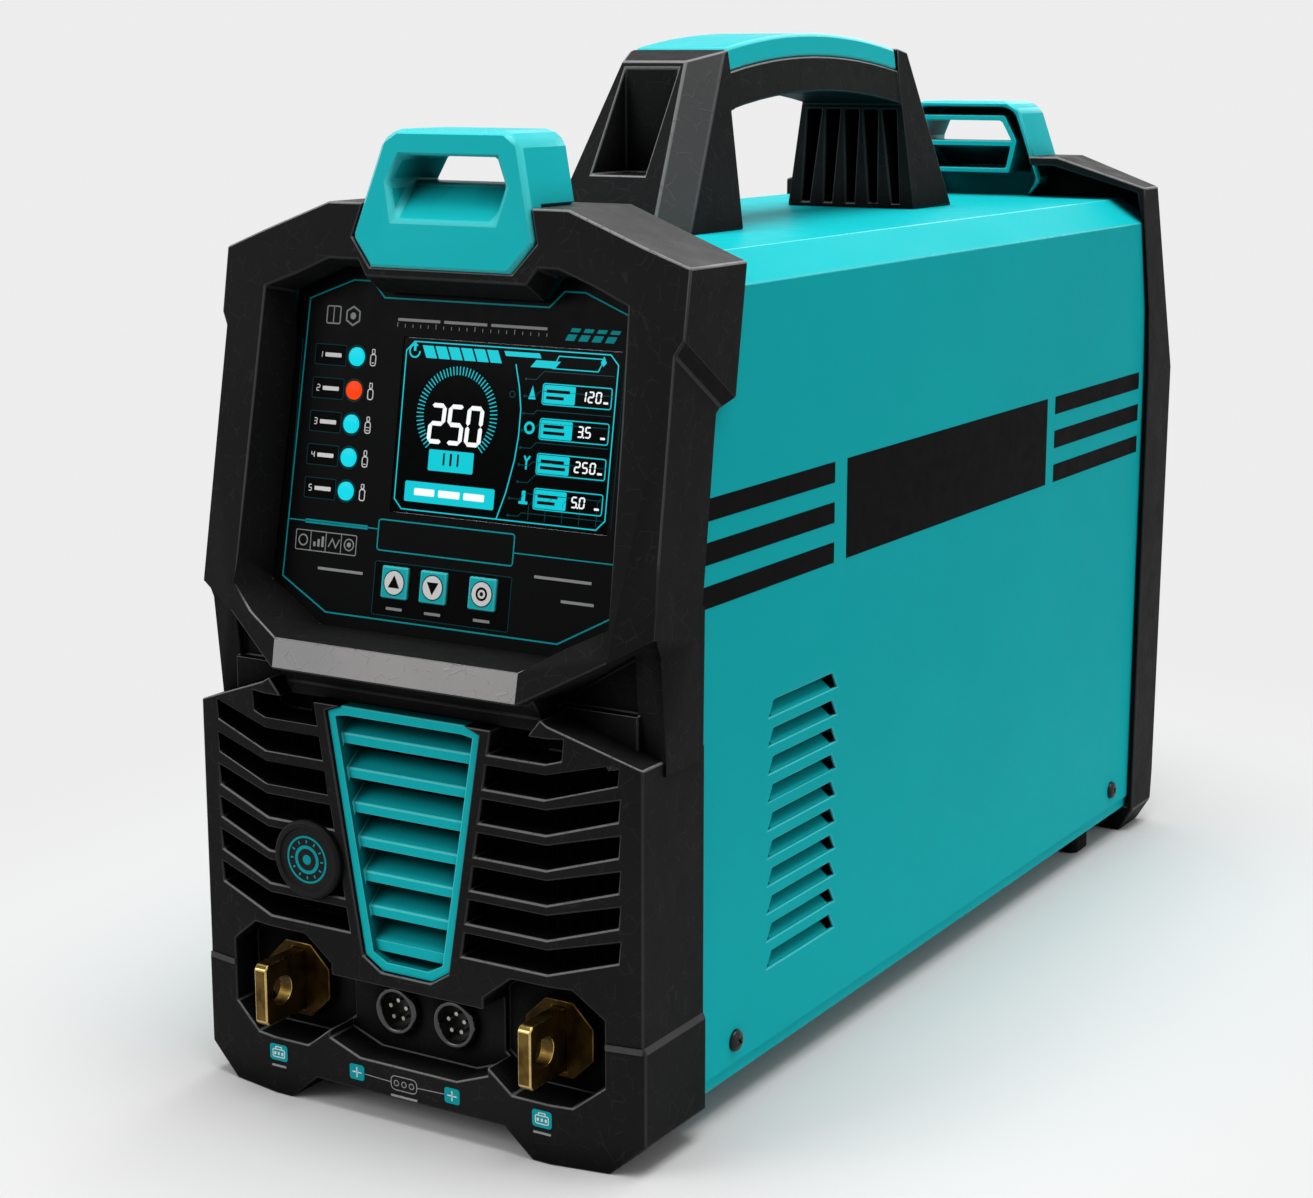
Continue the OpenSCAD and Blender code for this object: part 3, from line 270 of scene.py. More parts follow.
def winding(name):
    """Enamelled copper wire laid in close turns, with painted shade in the grooves between turns and a
    painted highlight on their crowns.
    """
    shader = Shader(name, {"Specular IOR Level": 0.5, "Coat Weight": 0.6, "Coat Roughness": 0.15})
    wave = shader.node("ShaderNodeTexWave", {"Vector": shader.place, "Scale": 160.0, "Distortion": 0.6},
                       bands_direction="Z").outputs[1]
    # Painted shade and highlight: dark in the grooves between turns, light on their crowns.
    shader.colour(shader.mix(wave, rgb(0.16, 0.045, 0.014), rgb(0.42, 0.15, 0.05)))
    shader.rough(shader.noise(200, 3), 0.25, 0.4)
    shader.bump(wave, WIRE_DEPTH, 0.7)
    return shader.material


TEAL = (0.008, 0.49, 0.53)
BLACK = moulded_black("black_moulding", 0.0125, 0.02, 0.06)
# Bevel faces of black pieces: lighter, with up-facing faces lighter still, as a painted highlight on the
# edges.
BLACK_EDGE = moulded_black("black_edge_painted_highlight", 0.03, 0.08, 0.02, 0.35, 0.21)
# Lighter black for the ledges and pylon corners, a painted sheen.
BLACK_FACET = moulded_black("black_facet_painted_sheen", 0.055, 0.1, 0.16, 0.5)
# Lighter black for the frame's roof, a painted sheen.
BLACK_CREST = moulded_black("black_crest_painted_sheen", 0.035, 0.1, 0.1, 0.5)
GREY_LIP = moulded_black("grey_satin_lip", 0.3, 0.2, 0.22, 0.5)
BLACK_SMOOTH = moulded_black("black_smooth_plastic", 0.009, 0.08, 0.01)
TEAL_PAINT = teal_finish("teal_powder_coat", TEAL, 0.008, 0.4, 1300, 0.2)
TEAL_PLASTIC = teal_finish("teal_moulding", TEAL, 0.025, 0.34, 900, 0.03)
TEAL_GRILLE = teal_finish("teal_grille_moulding", TEAL, 0.025, 0.34, 900, 0.1, GRILLE_REACH)
# Lighter teal for bevel faces, a painted highlight on the edges.
TEAL_EDGE = teal_finish("teal_edge_painted_highlight", (0.05, 0.6, 0.63), 0.12, 0.3, 900, 0.1)
BRASS = bare_metal("brass", (0.16, 0.1, 0.026), (0.055, 0.032, 0.008), 0.36, (0.2, 1.4, 1.4))
# Lighter brass for bevel faces, a painted highlight on the edges.
BRASS_EDGE = bare_metal("brass_edge_painted_highlight", (0.6, 0.44, 0.17), (0.36, 0.25, 0.085), 0.26)
# Darkened brass for the flanges in their recesses, a painted shade.
BRASS_SHADED = bare_metal("brass_painted_shade", (0.042, 0.024, 0.006), (0.016, 0.009, 0.0025), 0.42)
COPPER = bare_metal("copper", (0.62, 0.27, 0.14), (0.36, 0.14, 0.07), 0.34, (1.4, 0.15, 1.4))
ZINC = bare_metal("zinc_plate", (0.62, 0.63, 0.65), (0.42, 0.43, 0.45), 0.36, scratch=300)
PIN = bare_metal("plated_pin", (0.42, 0.41, 0.38), (0.3, 0.28, 0.23), 0.3)
ALUMINIUM = bare_metal("aluminium", (0.7, 0.71, 0.73), (0.5, 0.51, 0.53), 0.32, (1.4, 0.1, 1.4))
CORE_STEEL = bare_metal("core_steel", (0.1, 0.1, 0.11), (0.04, 0.04, 0.045), 0.5, (0.1, 1.4, 0.1), 1200)
BLACK_STEEL = plain_plastic("black_oxide_steel", (0.009, 0.009, 0.01), 0.26, 900, 0.25)
# Near-black filter sheet that paints the shade inside the case.
FILTER = plain_plastic("filter_painted_shade", (0.003, 0.003, 0.003), 0.8, 900, 0.02)
FILM = plain_plastic("panel_film", (0.0022, 0.0024, 0.0026), 0.36, 1800, 0.03)
GLASS = plain_plastic("display_window", (0.0006, 0.0008, 0.001), 0.12, 60, 0.025)
SOCKET_BLACK = plain_plastic("socket_shell", (0.006, 0.006, 0.0065), 0.16, 800, 0.6, 0.4)
INSERT = plain_plastic("socket_insert", (0.004, 0.004, 0.0045), 0.3, 800, 0.3)
RUBBER = plain_plastic("foot_rubber", (0.006, 0.006, 0.006), 0.7, 1500, 0.05)
RED = plain_plastic("rocker_red", (0.34, 0.012, 0.008), 0.28, 900, 0.06)
SLEEVE = plain_plastic("capacitor_sleeve", (0.012, 0.018, 0.05), 0.3, 500, 0.5)
BOARD = circuit_board("circuit_board")
WIRE = winding("enamelled_wire")
DECAL = plain_plastic("black_decal", (0.0055, 0.0055, 0.006), 0.42, 1600, 0.008)
PRINT_TEAL = plain_plastic("print_teal", (0.005, 0.36, 0.4), 0.4, 1500, 0.03)
PRINT_DIM = plain_plastic("print_dim_teal", (0.003, 0.05, 0.055), 0.4, 1500, 0.03)
PRINT_WHITE = plain_plastic("print_white", (0.86, 0.86, 0.86), 0.4, 1500, 0.1)
PRINT_GREY = plain_plastic("print_grey", (0.33, 0.335, 0.34), 0.4, 1500, 0.05)
PRINT_BLACK = plain_plastic("print_black", (0.0012, 0.0012, 0.0012), 0.4, 1500, 0.02)
CYAN_LIGHT = lit_print("cyan_light", (0.004, 0.58, 0.66))
DIM_LIGHT = lit_print("dim_cyan_light", (0.001, 0.04, 0.05))
WHITE_LIGHT = lit_print("white_light", (0.92, 0.95, 0.96))
LENS_CYAN = lit_print("lens_cyan", (0.006, 0.68, 0.8))
LENS_RED = lit_print("lens_red", (1.0, 0.055, 0.006))
# Each look's lighter bevel-face look, which paints the highlights on edges.
EDGE_OF = {BLACK: BLACK_EDGE, TEAL_PLASTIC: TEAL_EDGE, TEAL_PAINT: TEAL_EDGE, TEAL_GRILLE: TEAL_EDGE,
           BRASS: BRASS_EDGE, BRASS_SHADED: BRASS}


# Making shapes and pieces

def set_piece(piece, look, slot, body="root", nodes=()):
    """Gives a new piece its material and the body it rides on, and hides the nodes it stands for; slot is
    not used.
    """
    if not piece.data.materials:
        piece.data.materials.append(look)
    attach(piece, body)
    if nodes:
        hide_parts(*nodes)
    return piece


def add_object(name, data):
    """A new object in the scene."""
    piece = bpy.data.objects.new(name, data)
    bpy.context.scene.collection.objects.link(piece)
    return piece


def new_piece(name, shape):
    """An object made from a bmesh, with its faces turned outwards."""
    bmesh.ops.recalc_face_normals(shape, faces=shape.faces)
    mesh = bpy.data.meshes.new(name)
    shape.to_mesh(mesh)
    shape.free()
    return add_object(name, mesh)


def apply_modifiers(piece):
    """Gives a piece the mesh that its modifiers make."""
    graph = bpy.context.evaluated_depsgraph_get()
    mesh = bpy.data.meshes.new_from_object(piece.evaluated_get(graph))
    piece.modifiers.clear()
    piece.data = mesh


def spokes(side, across, count):
    """Vectors all round, from two that stand square to each other."""
    angles = [2 * math.pi * step / count for step in range(count)]
    return [side * math.cos(angle) + across * math.sin(angle) for angle in angles]


def bridge(shape, rows, closed=False, caps=True):
    """Joins rings of vertices by faces; a ring of one vertex is a tip."""
    for index in range(0 if closed else 1, len(rows)):
        first, second = rows[index - 1], rows[index]
        for step in range(max(len(first), len(second))):
            corners = [first[(step - 1) % len(first)], first[step % len(first)],
                       second[step % len(second)], second[(step - 1) % len(second)]]
            shape.faces.new(list(dict.fromkeys(corners)))
    if caps and not closed:
        for ring in (rows[0], rows[-1]):
            if len(ring) > 1:
                shape.faces.new(ring)


def turned(shape, profile, centre, axis, count=32):
    """Adds a solid of revolution to a bmesh, from (radius, height) pairs along the axis."""
    side = axis.orthogonal().normalized()
    around = spokes(side, axis.cross(side), count)
    rows = []
    for radius, height in profile:
        middle = centre + axis * height
        ring = around if radius else around[:1]
        rows.append([shape.verts.new(middle + spoke * radius) for spoke in ring])
    bridge(shape, rows)


def smooth(mesh, angle=40):
    """Smooth shading that breaks at edges sharper than the angle."""
    mesh.shade_smooth()
    mesh.set_sharp_from_angle(angle=math.radians(angle))


# Pieces that carry a CAD node's own shape with bevelled edges, whose lighter look paints their highlights

EDGE_ANGLE = math.radians(24)
FLAT_ANGLE = math.radians(1)
JOIN_ANGLE = math.radians(0.3)
JOIN_REACH = 0.004 * mm
ROOM_MOST = 4
ROOM_SHARE = 0.42
STRAY_SHARE = 0.7
STRAY_LEAST = 0.02 * mm
BLOCK_REACH = 1.5
BEVEL_SHRINK = 0.45
BEVEL_LEAST = 0.15
DRESS_TRIES = 10
STRICT_TRIES = 3
FEW_FAULTS = 16


def flat_form(node):
    """A CAD node's surface with its triangles joined into flat faces."""
    shape = bmesh.new()
    shape.from_mesh(frame["nodes"][node].data)
    bmesh.ops.remove_doubles(shape, verts=shape.verts, dist=JOIN_REACH)
    bmesh.ops.dissolve_limit(shape, angle_limit=JOIN_ANGLE, verts=shape.verts, edges=shape.edges)
    shape.verts.index_update()
    return shape


def fold(edge):
    return edge.calc_face_angle(0.0)


def flat_regions(shape):
    """Groups of faces that lie in one plane and touch."""
    seen = set()
    for face in shape.faces:
        if face in seen:
            continue
        seen.add(face)
        region = [face]
        for member in region:
            for edge in member.edges:
                if fold(edge) < FLAT_ANGLE:
                    fresh = [other for other in edge.link_faces if other not in seen]
                    seen.update(fresh)
                    region.extend(fresh)
        yield region


def clear_room(index, ends, marks):
    """Free width beside one edge of a flat region before the region's other edges."""
    start = ends[:, 0]
    along = ends[:, 1] - start
    length = np.linalg.norm(along, axis=1)
    shares = np.array([0.1, 0.5, 0.9])[:, None]
    samples = ends[index, 0] + along[index] * shares
    share = ((samples[:, None] - start) * along).sum(2) / np.maximum(length ** 2, 1e-18)
    nearest = start + np.clip(share, 0, 1)[..., None] * along
    room = np.linalg.norm(samples[:, None] - nearest, axis=2).min(0)
    room[index] = np.inf
    for other in np.nonzero((marks[:, :, None] == marks[index]).any((1, 2)))[0]:
        if other != index:
            turn = abs(np.dot(along[index], along[other])) / max(length[index] * length[other], 1e-12)
            sine = math.sqrt(max(0.0, 1 - turn ** 2))
            room[other] = np.inf if sine < 0.5 else length[other] * sine
    return room.min()


def from_edge(place, start, end):
    """Distance of a place from an edge."""
    foot, share = intersect_point_line(place, start, end)
    if share < 0:
        foot = start
    elif share > 1:
        foot = end
    return (foot - place).length


def bevel_weights(shape, width, blocked):
    """Weight of the bevel on each sharp edge, smaller beside narrow faces and near blocked places."""
    layer = shape.edges.layers.float.new("bevel_weight_edge")
    room = {edge: ROOM_MOST * width for edge in shape.edges if fold(edge) > EDGE_ANGLE}
    for region in flat_regions(shape):
        edges = {edge for face in region for edge in face.edges}
        rim = [edge for edge in edges if fold(edge) >= FLAT_ANGLE]
        if len(rim) < 2:
            continue
        ends = np.array([[vertex.co for vertex in edge.verts] for edge in rim])
        marks = np.array([[vertex.index for vertex in edge.verts] for edge in rim])
        for index, edge in enumerate(rim):
            if edge in room:
                room[edge] = min(room[edge], clear_room(index, ends, marks))
    for edge, free in room.items():
        weight = min(1.0, ROOM_SHARE * free / width)
        start, end = [vertex.co for vertex in edge.verts]
        for places, reach in blocked:
            if any(from_edge(place, start, end) < reach for place in places):
                weight *= BEVEL_SHRINK
        edge[layer] = weight if weight > BEVEL_LEAST else 0.0


def crossings(shape):
    """Corners of faces that cut through another face they share no corner with."""
    tree = BVHTree.FromBMesh(shape)
    shape.faces.ensure_lookup_table()
    places = []
    for one, two in tree.overlap(tree):
        if one < two:
            first, second = shape.faces[one], shape.faces[two]
            if not set(first.verts) & set(second.verts):
                small = min((first, second), key=lambda face: face.calc_area())
                places += [vertex.co.copy() for vertex in small.verts]
    return places


def faults(mesh, source, width):
    """Places where a bevelled mesh is open, leaves its source's surface or cuts through itself."""
    shape = bmesh.new()
    shape.from_mesh(mesh)
    tree = BVHTree.FromBMesh(source)
    places = [edge.verts[0].co.copy() for edge in shape.edges if len(edge.link_faces) != 2]
    for vertex in shape.verts:
        if tree.find_nearest(vertex.co)[3] > STRAY_SHARE * width + STRAY_LEAST:
            places.append(vertex.co.copy())
    found = crossings(shape)
    if len(found) > len(crossings(source)):
        places += found
    shape.free()
    return places


def dress(node, look, slot, width, body="root", segments=2, accents=()):
    """Replaces a CAD node by its own form with bevelled edges, as wide as its faces allow; the bevel faces
    take a lighter edge look that paints their highlights.

    A few tiny faces may still cross in inner corners after the strict tries.
    """
    blocked = []
    looks = [look, EDGE_OF.get(look, look)] + [accent for accent, test in accents]
    for turn in range(DRESS_TRIES):
        shape = flat_form(node)
        for index, (accent, test) in enumerate(accents):
            for face in shape.faces:
                if test(face):
                    face.material_index = 2 + index
        source = shape.copy()
        bevel_weights(shape, width, blocked)
        piece = new_piece(node + "_shell", shape)
        for part in looks:
            piece.data.materials.append(part)
        bevel = piece.modifiers.new("bevel", "BEVEL")
        bevel.width = width
        bevel.segments = segments
        bevel.limit_method = "WEIGHT"
        bevel.use_clamp_overlap = False
        bevel.harden_normals = False
        # Bevel faces take the lighter edge look, a painted highlight.
        bevel.material = 1
        smooth(piece.data, 50)
        piece.modifiers.new("normals", "WEIGHTED_NORMAL").keep_sharp = True
        apply_modifiers(piece)
        wrong = faults(piece.data, source, width)
        source.free()
        if not wrong or turn >= STRICT_TRIES and len(wrong) <= FEW_FAULTS:
            set_piece(piece, look, slot, body, [node])
            return
        blocked.append((wrong, BLOCK_REACH * width * (turn + 1)))
        bpy.data.objects.remove(piece)
    finish_node(node, look)


def finish_node(node, look):
    """Gives a CAD node that stays in view its procedural material."""
    mesh = frame["nodes"][node].data
    mesh.materials.clear()
    mesh.materials.append(look)


fascia_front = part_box("front_fascia")[0].y
fascia_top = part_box("front_fascia")[1].z
block_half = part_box("lower_front")[1].x
handle_middle = sum(corner.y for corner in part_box("handle_body")) / 2
LIP_DEPTH = 5 * mm
CREST_DROP = 30 * mm
LEDGE_TOP = 60 * mm
LEDGE_IN = 2 * mm
LEDGE_X = (97.4, 113.6)
LEDGE_LAYERS = 8


def is_lip(face):
    """The front edge of the visor under the panel."""
    return face.normal.dot(-INTO) > 0.99 and face.calc_center_median().y < fascia_front + LIP_DEPTH


def is_crest(face):
    """The roof of the front frame, which gets a lighter look as a painted sheen."""
    return face.normal.z > 0.75 and face.calc_center_median().z > fascia_top - CREST_DROP


def is_ledge(face):
    """The sloping ledge above the foot of the lower front, which gets a lighter look as a painted sheen."""
    middle = face.calc_center_median()
    return face.normal.z > 0.2 and middle.z < LEDGE_TOP and abs(middle.x) > block_half - LEDGE_IN


def is_facet(face):
    """The sloping corners of the handle's front pylon, which get a lighter look as a painted sheen."""
    return abs(face.normal.x) > 0.6 and face.normal.y < -0.3 and face.calc_center_median().y < handle_middle


DRESSED = [
    ("rear_bezel", BLACK, "black_plastic", 1.0),
    ("handle_cap", TEAL_PLASTIC, "teal_plastic", 1.6),
    # The grille's long reach paints the shade that the visor casts on it.
    ("centre_grille", TEAL_GRILLE, "teal_plastic", 0.6),
    ("side_cover", TEAL_PAINT, "teal_paint", 0.5),
    ("base_tray", TEAL_PAINT, "teal_paint", 0.4),
    ("rear_panel", TEAL_PAINT, "teal_paint", 0.3),
    ("badge_disc", BLACK_SMOOTH, "black_plastic", 0.4),
    ("control_panel", FILM, "panel_film", 0.2),
    ("left_terminal", BRASS, "brass_metal", 0.7),
    ("right_terminal", BRASS, "brass_metal", 0.7),
    # Flanges in the darkened brass, a painted shade of their recesses.
    ("left_flange", BRASS_SHADED, "brass_metal", 0.6),
    ("right_flange", BRASS_SHADED, "brass_metal", 0.6),
    ("left_socket", SOCKET_BLACK, "black_plastic", 0.4),
    ("right_socket", SOCKET_BLACK, "black_plastic", 0.4),
    ("rear_feet", RUBBER, "foot_rubber", 1.2),
    ("mains_switch", BLACK_SMOOTH, "black_plastic", 0.6),
    ("cable_gland", BLACK_SMOOTH, "black_plastic", 0.5),
    ("gland_nut", BLACK_SMOOTH, "black_plastic", 0.4),
    ("earth_stud", BRASS, "brass_metal", 0.4),
    ("earth_nut", BRASS, "brass_metal", 0.4),
]
for node, look, slot, width in DRESSED:
    dress(node, look, slot, width * mm)
# The roof of the frame gets a lighter look, a painted sheen; the lip gets its grey band.
dress("front_fascia", BLACK, "black_plastic", 0.9 * mm,
      accents=[(GREY_LIP, is_lip), (BLACK_CREST, is_crest)])
# Ledges and pylon corners get a lighter look, a painted sheen.
dress("lower_front", BLACK, "black_plastic", 0.8 * mm, accents=[(BLACK_FACET, is_ledge)])
dress("handle_body", BLACK, "black_plastic", 0.9 * mm, accents=[(BLACK_FACET, is_facet)])
for node in ("front_lug", "rear_lug"):
    dress(node, TEAL_PLASTIC, "teal_plastic", 2.2 * mm, segments=1)
dress("fan_rotor", BLACK_SMOOTH, "black_plastic", 0.5 * mm, "fan_rotor")
dress("mains_rocker", RED, "rocker_red", 0.6 * mm, "mains_rocker")

KEPT = {
    GLASS: ["display_glass"],
    ZINC: ["display_module", "panel_standoffs", "socket_nuts", "front_plate", "handle_bolts"],
    BOARD: ["panel_board", "power_board", "control_board"],
    BRASS: ["terminal_nuts", "board_standoffs"],
    COPPER: ["left_bus_bar", "right_bus_bar"],
    INSERT: ["socket_inserts"],
    PIN: ["socket_pins"],
    ALUMINIUM: ["left_heat_sink", "right_heat_sink"],
    SLEEVE: ["capacitor_bank"],
    CORE_STEEL: ["transformer_core"],
    WIRE: ["transformer_winding", "output_choke"],
    BLACK_STEEL: ["fan_screws"],
    BLACK_SMOOTH: ["fan_frame"],
}
for look, nodes in KEPT.items():
    for node in nodes:
        finish_node(node, look)


# Printed artwork

SEGMENTS = {"0": "abcdef", "1": "bc", "2": "abged", "3": "abgcd", "4": "fgbc", "5": "afgcd",
            "6": "afgedc", "7": "abc", "8": "abcdefg", "9": "abcdfg"}
SEGMENT_ENDS = {"a": ((0, 2), (1, 2)), "b": ((1, 1), (1, 2)), "c": ((1, 0), (1, 1)), "d": ((0, 0), (1, 0)),
                "e": ((0, 0), (0, 1)), "f": ((0, 1), (0, 2)), "g": ((0, 1), (1, 1))}
SEGMENT_GAP = 0.06
PRINT_T = 0.1
LAYER_T = 0.06


def arc(centre, radius, start, turn, count):
    """Points along an arc, with its angles in degrees."""
    angles = [math.radians(start + turn * step / count) for step in range(count + 1)]
    return [(centre[0] + radius * math.cos(a), centre[1] + radius * math.sin(a)) for a in angles]


def round_box(low, high, radius):
    """Outline of a box with round corners."""
    corners = [((high[0] - radius, high[1] - radius), 0), ((low[0] + radius, high[1] - radius), 90),
               ((low[0] + radius, low[1] + radius), 180), ((high[0] - radius, low[1] + radius), 270)]
    return [point for centre, start in corners for point in arc(centre, radius, start, 90, 4)]


class Print:
    """Thin raised print on a flat face, drawn in millimetres along the face's right and up."""

    def __init__(self, name, look, slot, face, body="root", layer=0):
        self.name = name
        self.look = look
        self.slot = slot
        self.body = body
        self.origin, self.right, self.up = face
        self.out = self.right.cross(self.up)
        self.top = PRINT_T + LAYER_T * layer
        self.shape = bmesh.new()

    def at(self, point, height):
        place = self.right * point[0] + self.up * point[1] + self.out * height
        return self.shape.verts.new(self.origin + place * mm)

    def slab(self, points):
        bridge(self.shape, [[self.at(point, height) for point in points] for height in (0, self.top)])

    def strip(self, left, right, closed):
        rows = []
        for one, two in zip(left, right):
            rows.append([self.at(one, 0), self.at(one, self.top), self.at(two, self.top), self.at(two, 0)])
        bridge(self.shape, rows, closed)

    def line(self, points, width, closed=False):
        path = [Vector(point) for point in points]
        left = []
        right = []
        for index, point in enumerate(path):
            ways = []
            if closed or index > 0:
                ways.append((point - path[index - 1]).normalized())
            if closed or index + 1 < len(path):
                ways.append((path[(index + 1) % len(path)] - point).normalized())
            normals = [Vector((-way.y, way.x)) for way in ways]
            side = sum(normals, Vector((0, 0))).normalized()
            reach = width / 2 / max(0.35, side.dot(normals[0]))
            left.append(point + side * reach)
            right.append(point - side * reach)
        self.strip(left, right, closed)

    def box(self, low, high, radius=0.5):
        self.slab(round_box(low, high, min(radius, (high[0] - low[0]) / 2.01, (high[1] - low[1]) / 2.01)))

    def frame(self, low, high, width, radius=1.0):
        inner = [(low[0] + width, low[1] + width), (high[0] - width, high[1] - width)]
        self.strip(round_box(low, high, radius), round_box(*inner, max(0.1, radius - width)), True)

    def disc(self, centre, radius, count=32):
        self.slab(arc(centre, radius, 0, 360 - 360 / count, count - 1))

    def ring(self, centre, radius, width, start=0, turn=360, count=48):
        whole = turn == 360
        if whole:
            turn -= 360 / count
        self.strip(arc(centre, radius, start, turn, count - 1),
                   arc(centre, radius - width, start, turn, count - 1), whole)

    def number(self, text, corner, size, stroke, pitch, slant=0.06):
        """Digits of seven bars each, from the lower left corner."""
        for place, digit in enumerate(text.replace(".", "")):
            self.digit(digit, (corner[0] + place * pitch, corner[1]), size, stroke, slant)
        if "." in text:
            left = corner[0] + text.index(".") * pitch - (pitch - size[0]) / 2
            self.disc((left, corner[1] + stroke * 0.4), stroke * 0.6, 10)

    def digit(self, digit, corner, size, stroke, slant):
        wide = size[0] - stroke
        half = (size[1] - stroke) / 2
        base = Vector(corner) + Vector((stroke, stroke)) / 2
        for bar in SEGMENTS[digit]:
            one, two = [Vector((x * wide, z * half)) for x, z in SEGMENT_ENDS[bar]]
            way = (two - one).normalized()
            side = Vector((-way.y, way.x)) * stroke / 2
            tip = way * stroke / 2
            one += way * stroke * SEGMENT_GAP
            two -= way * stroke * SEGMENT_GAP
            points = [one, one + tip - side, two - tip - side, two, two - tip + side, one + tip + side]
            self.slab([(base.x + point.x + slant * point.y, base.y + point.y) for point in points])

    def done(self):
        return set_piece(new_piece(self.name, self.shape), self.look, self.slot, self.body)


def ticks(art, centre, inner, outer, start, turn, count, width):
    """Radial marks of a dial."""
    for step in range(count):
        angle = math.radians(start + turn * step / (count - 1))
        way = Vector((math.cos(angle), math.sin(angle)))
        middle = Vector(centre)
        art.line([middle + way * inner, middle + way * outer], width)


PANEL = panel_face("control_panel")
SCREEN = panel_face("display_glass")
LED_X = -54.3
LED_LOW = 53.7
LED_PITCH = 14.5
LED_COUNT = 5
LED_ROWS = [LED_LOW + LED_PITCH * row for row in range(LED_COUNT)]
RED_ROW = 3
LABEL_H = 1.2


def mirrored(points):
    """Right-hand points and their mirror images, as one closed outline."""
    return points + [(-x, z) for x, z in reversed(points)]


def panel_teal():
    """Border and frames of the panel, bright and dim."""
    art = Print("panel_teal_lines", PRINT_TEAL, "panel_film", PANEL)
    border = mirrored([(60, 0.6), (85, 14), (82, 135.6), (59, 144.4), (49, 144.4), (42, 137.6)])
    art.line(border, 0.65, True)
    art.frame((-35.6, 29.9), (35, 43.7), 0.6, 1.6)
    art.line([(-84, 39.1), (-35.6, 39.1)], 0.5)
    art.box((-75, 38.2), (-41, 40), 0.4)
    art.line([(35, 35.7), (84, 35.7)], 0.5)
    for step in range(4):
        left = 51 + step * 6.4
        art.slab(slanted(left, left + 4.4, 124.6, 127.2, 1.4))
        art.slab(slanted(left + 2.2, left + 6.6, 128.2, 129.8, 0.8))
    art.done()
    dim = Print("panel_dim_lines", PRINT_DIM, "panel_film", PANEL)
    for row in LED_ROWS:
        dim.frame((-77.1, row - 4.6), (-59.9, row + 4.6), 0.35, 0.8)
        dim.ring((LED_X, row), 5.1, 0.7)
    dim.frame((-35.6, 2.4), (35.3, 25.7), 0.4, 1.0)
    dim.line([(-84.4, 46), (-84.4, 118)], 0.4)
    dim.line([(80.8, 50), (80.8, 118)], 0.3)
    dim.done()


def panel_black():
    art = Print("panel_black_fields", PRINT_BLACK, "panel_film", PANEL)
    for row in LED_ROWS:
        art.box((-76.7, row - 4.2), (-60.3, row + 4.2), 0.6)
    art.box((-35.2, 2.8), (34.9, 25.3), 0.8)
    art.done()


def panel_icons():
    """Plain outline marks beside the indicators, and numbered label bars."""
    art = Print("panel_white_marks", PRINT_WHITE, "panel_film", PANEL, layer=1)
    x = -45.5
    for place, row in enumerate(LED_ROWS):
        art.frame((x - 1.6, row - 3.6), (x + 1.6, row + 1.6 - 0.4 * (place % 2)), 0.45, 1.2)
        art.frame((x - 0.9, row + 1.6 - 0.4 * (place % 2)), (x + 0.9, row + 3.8), 0.4, 0.6)
        for mark in range(place % 3):
            art.line([(x - 0.8, row - 2.2 + 1.3 * mark), (x + 0.8, row - 2.2 + 1.3 * mark)], 0.35)
        art.number(str(LED_COUNT - place), (-74.8, row - 1.5), (1.9, 3.0), 0.4, 2.4)
        art.box((-71.4, row - 0.9), (-62.6, row + 0.9), 0.3)
    art.done()
    grey = Print("panel_grey_marks", PRINT_GREY, "panel_film", PANEL, layer=1)
    bars = [(-34, -12, 128.2), (-10, 12, 128.2), (14, 42, 128.2), (-66, -41.6, 18.6), (46, 74, 26.4),
            (60, 76, 17.6)]
    bars += [(middle - 4.2, middle + 4.2, 5.2) for middle in KEY_X]
    for left, right, low in bars:
        grey.box((left, low), (right, low + LABEL_H), 0.3)
    for step in range(20):
        left = -34 + step * 4
        grey.line([(left, 125.6), (left, 127 + (step % 5 == 0) * 0.6)], 0.3)
    grey.frame((-72.4, 125), (-64.6, 133), 0.6, 1.0)
    grey.line([(-68.5, 125.4), (-68.5, 132.6)], 0.5)
    grey.line(arc((-58, 129), 4, 90, 300, 5), 0.7, True)
    grey.disc((-58, 129), 1.5, 20)
    grey.frame((-79.5, 26.2), (-46.2, 35.2), 0.4, 0.8)
    for cell in range(1, 4):
        grey.line([(-79.5 + 8.3 * cell, 26.6), (-79.5 + 8.3 * cell, 34.8)], 0.35)
    grey.ring((-75.3, 30.7), 2.6, 0.6, count=24)
    for step in range(3):
        grey.box((-69.6 + 2.2 * step, 28.4), (-68.4 + 2.2 * step, 30.4 + 1.3 * step), 0.2)
    grey.line([(-61.4, 28.8), (-59.4, 32.4), (-57.4, 28.8), (-55.6, 32.4)], 0.5)
    grey.ring((-50.3, 30.7), 2.7, 0.5, count=24)
    grey.disc((-50.3, 30.7), 1.1, 16)
    grey.done()


# Keys and their symbols

KEY_BODIES = ("key_up", "key_down", "key_set")
KEY_X = [sum(span(node, RIGHT)) / 2 / mm for node in KEY_BODIES]
KEY_Z = 17.1


def key_symbol(art, node, middle):
    if node == "key_set":
        art.ring((middle, KEY_Z), 2.9, 1.0, count=28)
        art.disc((middle, KEY_Z), 0.9, 16)
        return
    turn = 1 if node == "key_up" else -1
    outline = [(0, 3.2), (-3, -2.2), (3, -2.2)]
    art.slab([(middle + x * turn, KEY_Z + z * turn) for x, z in outline])


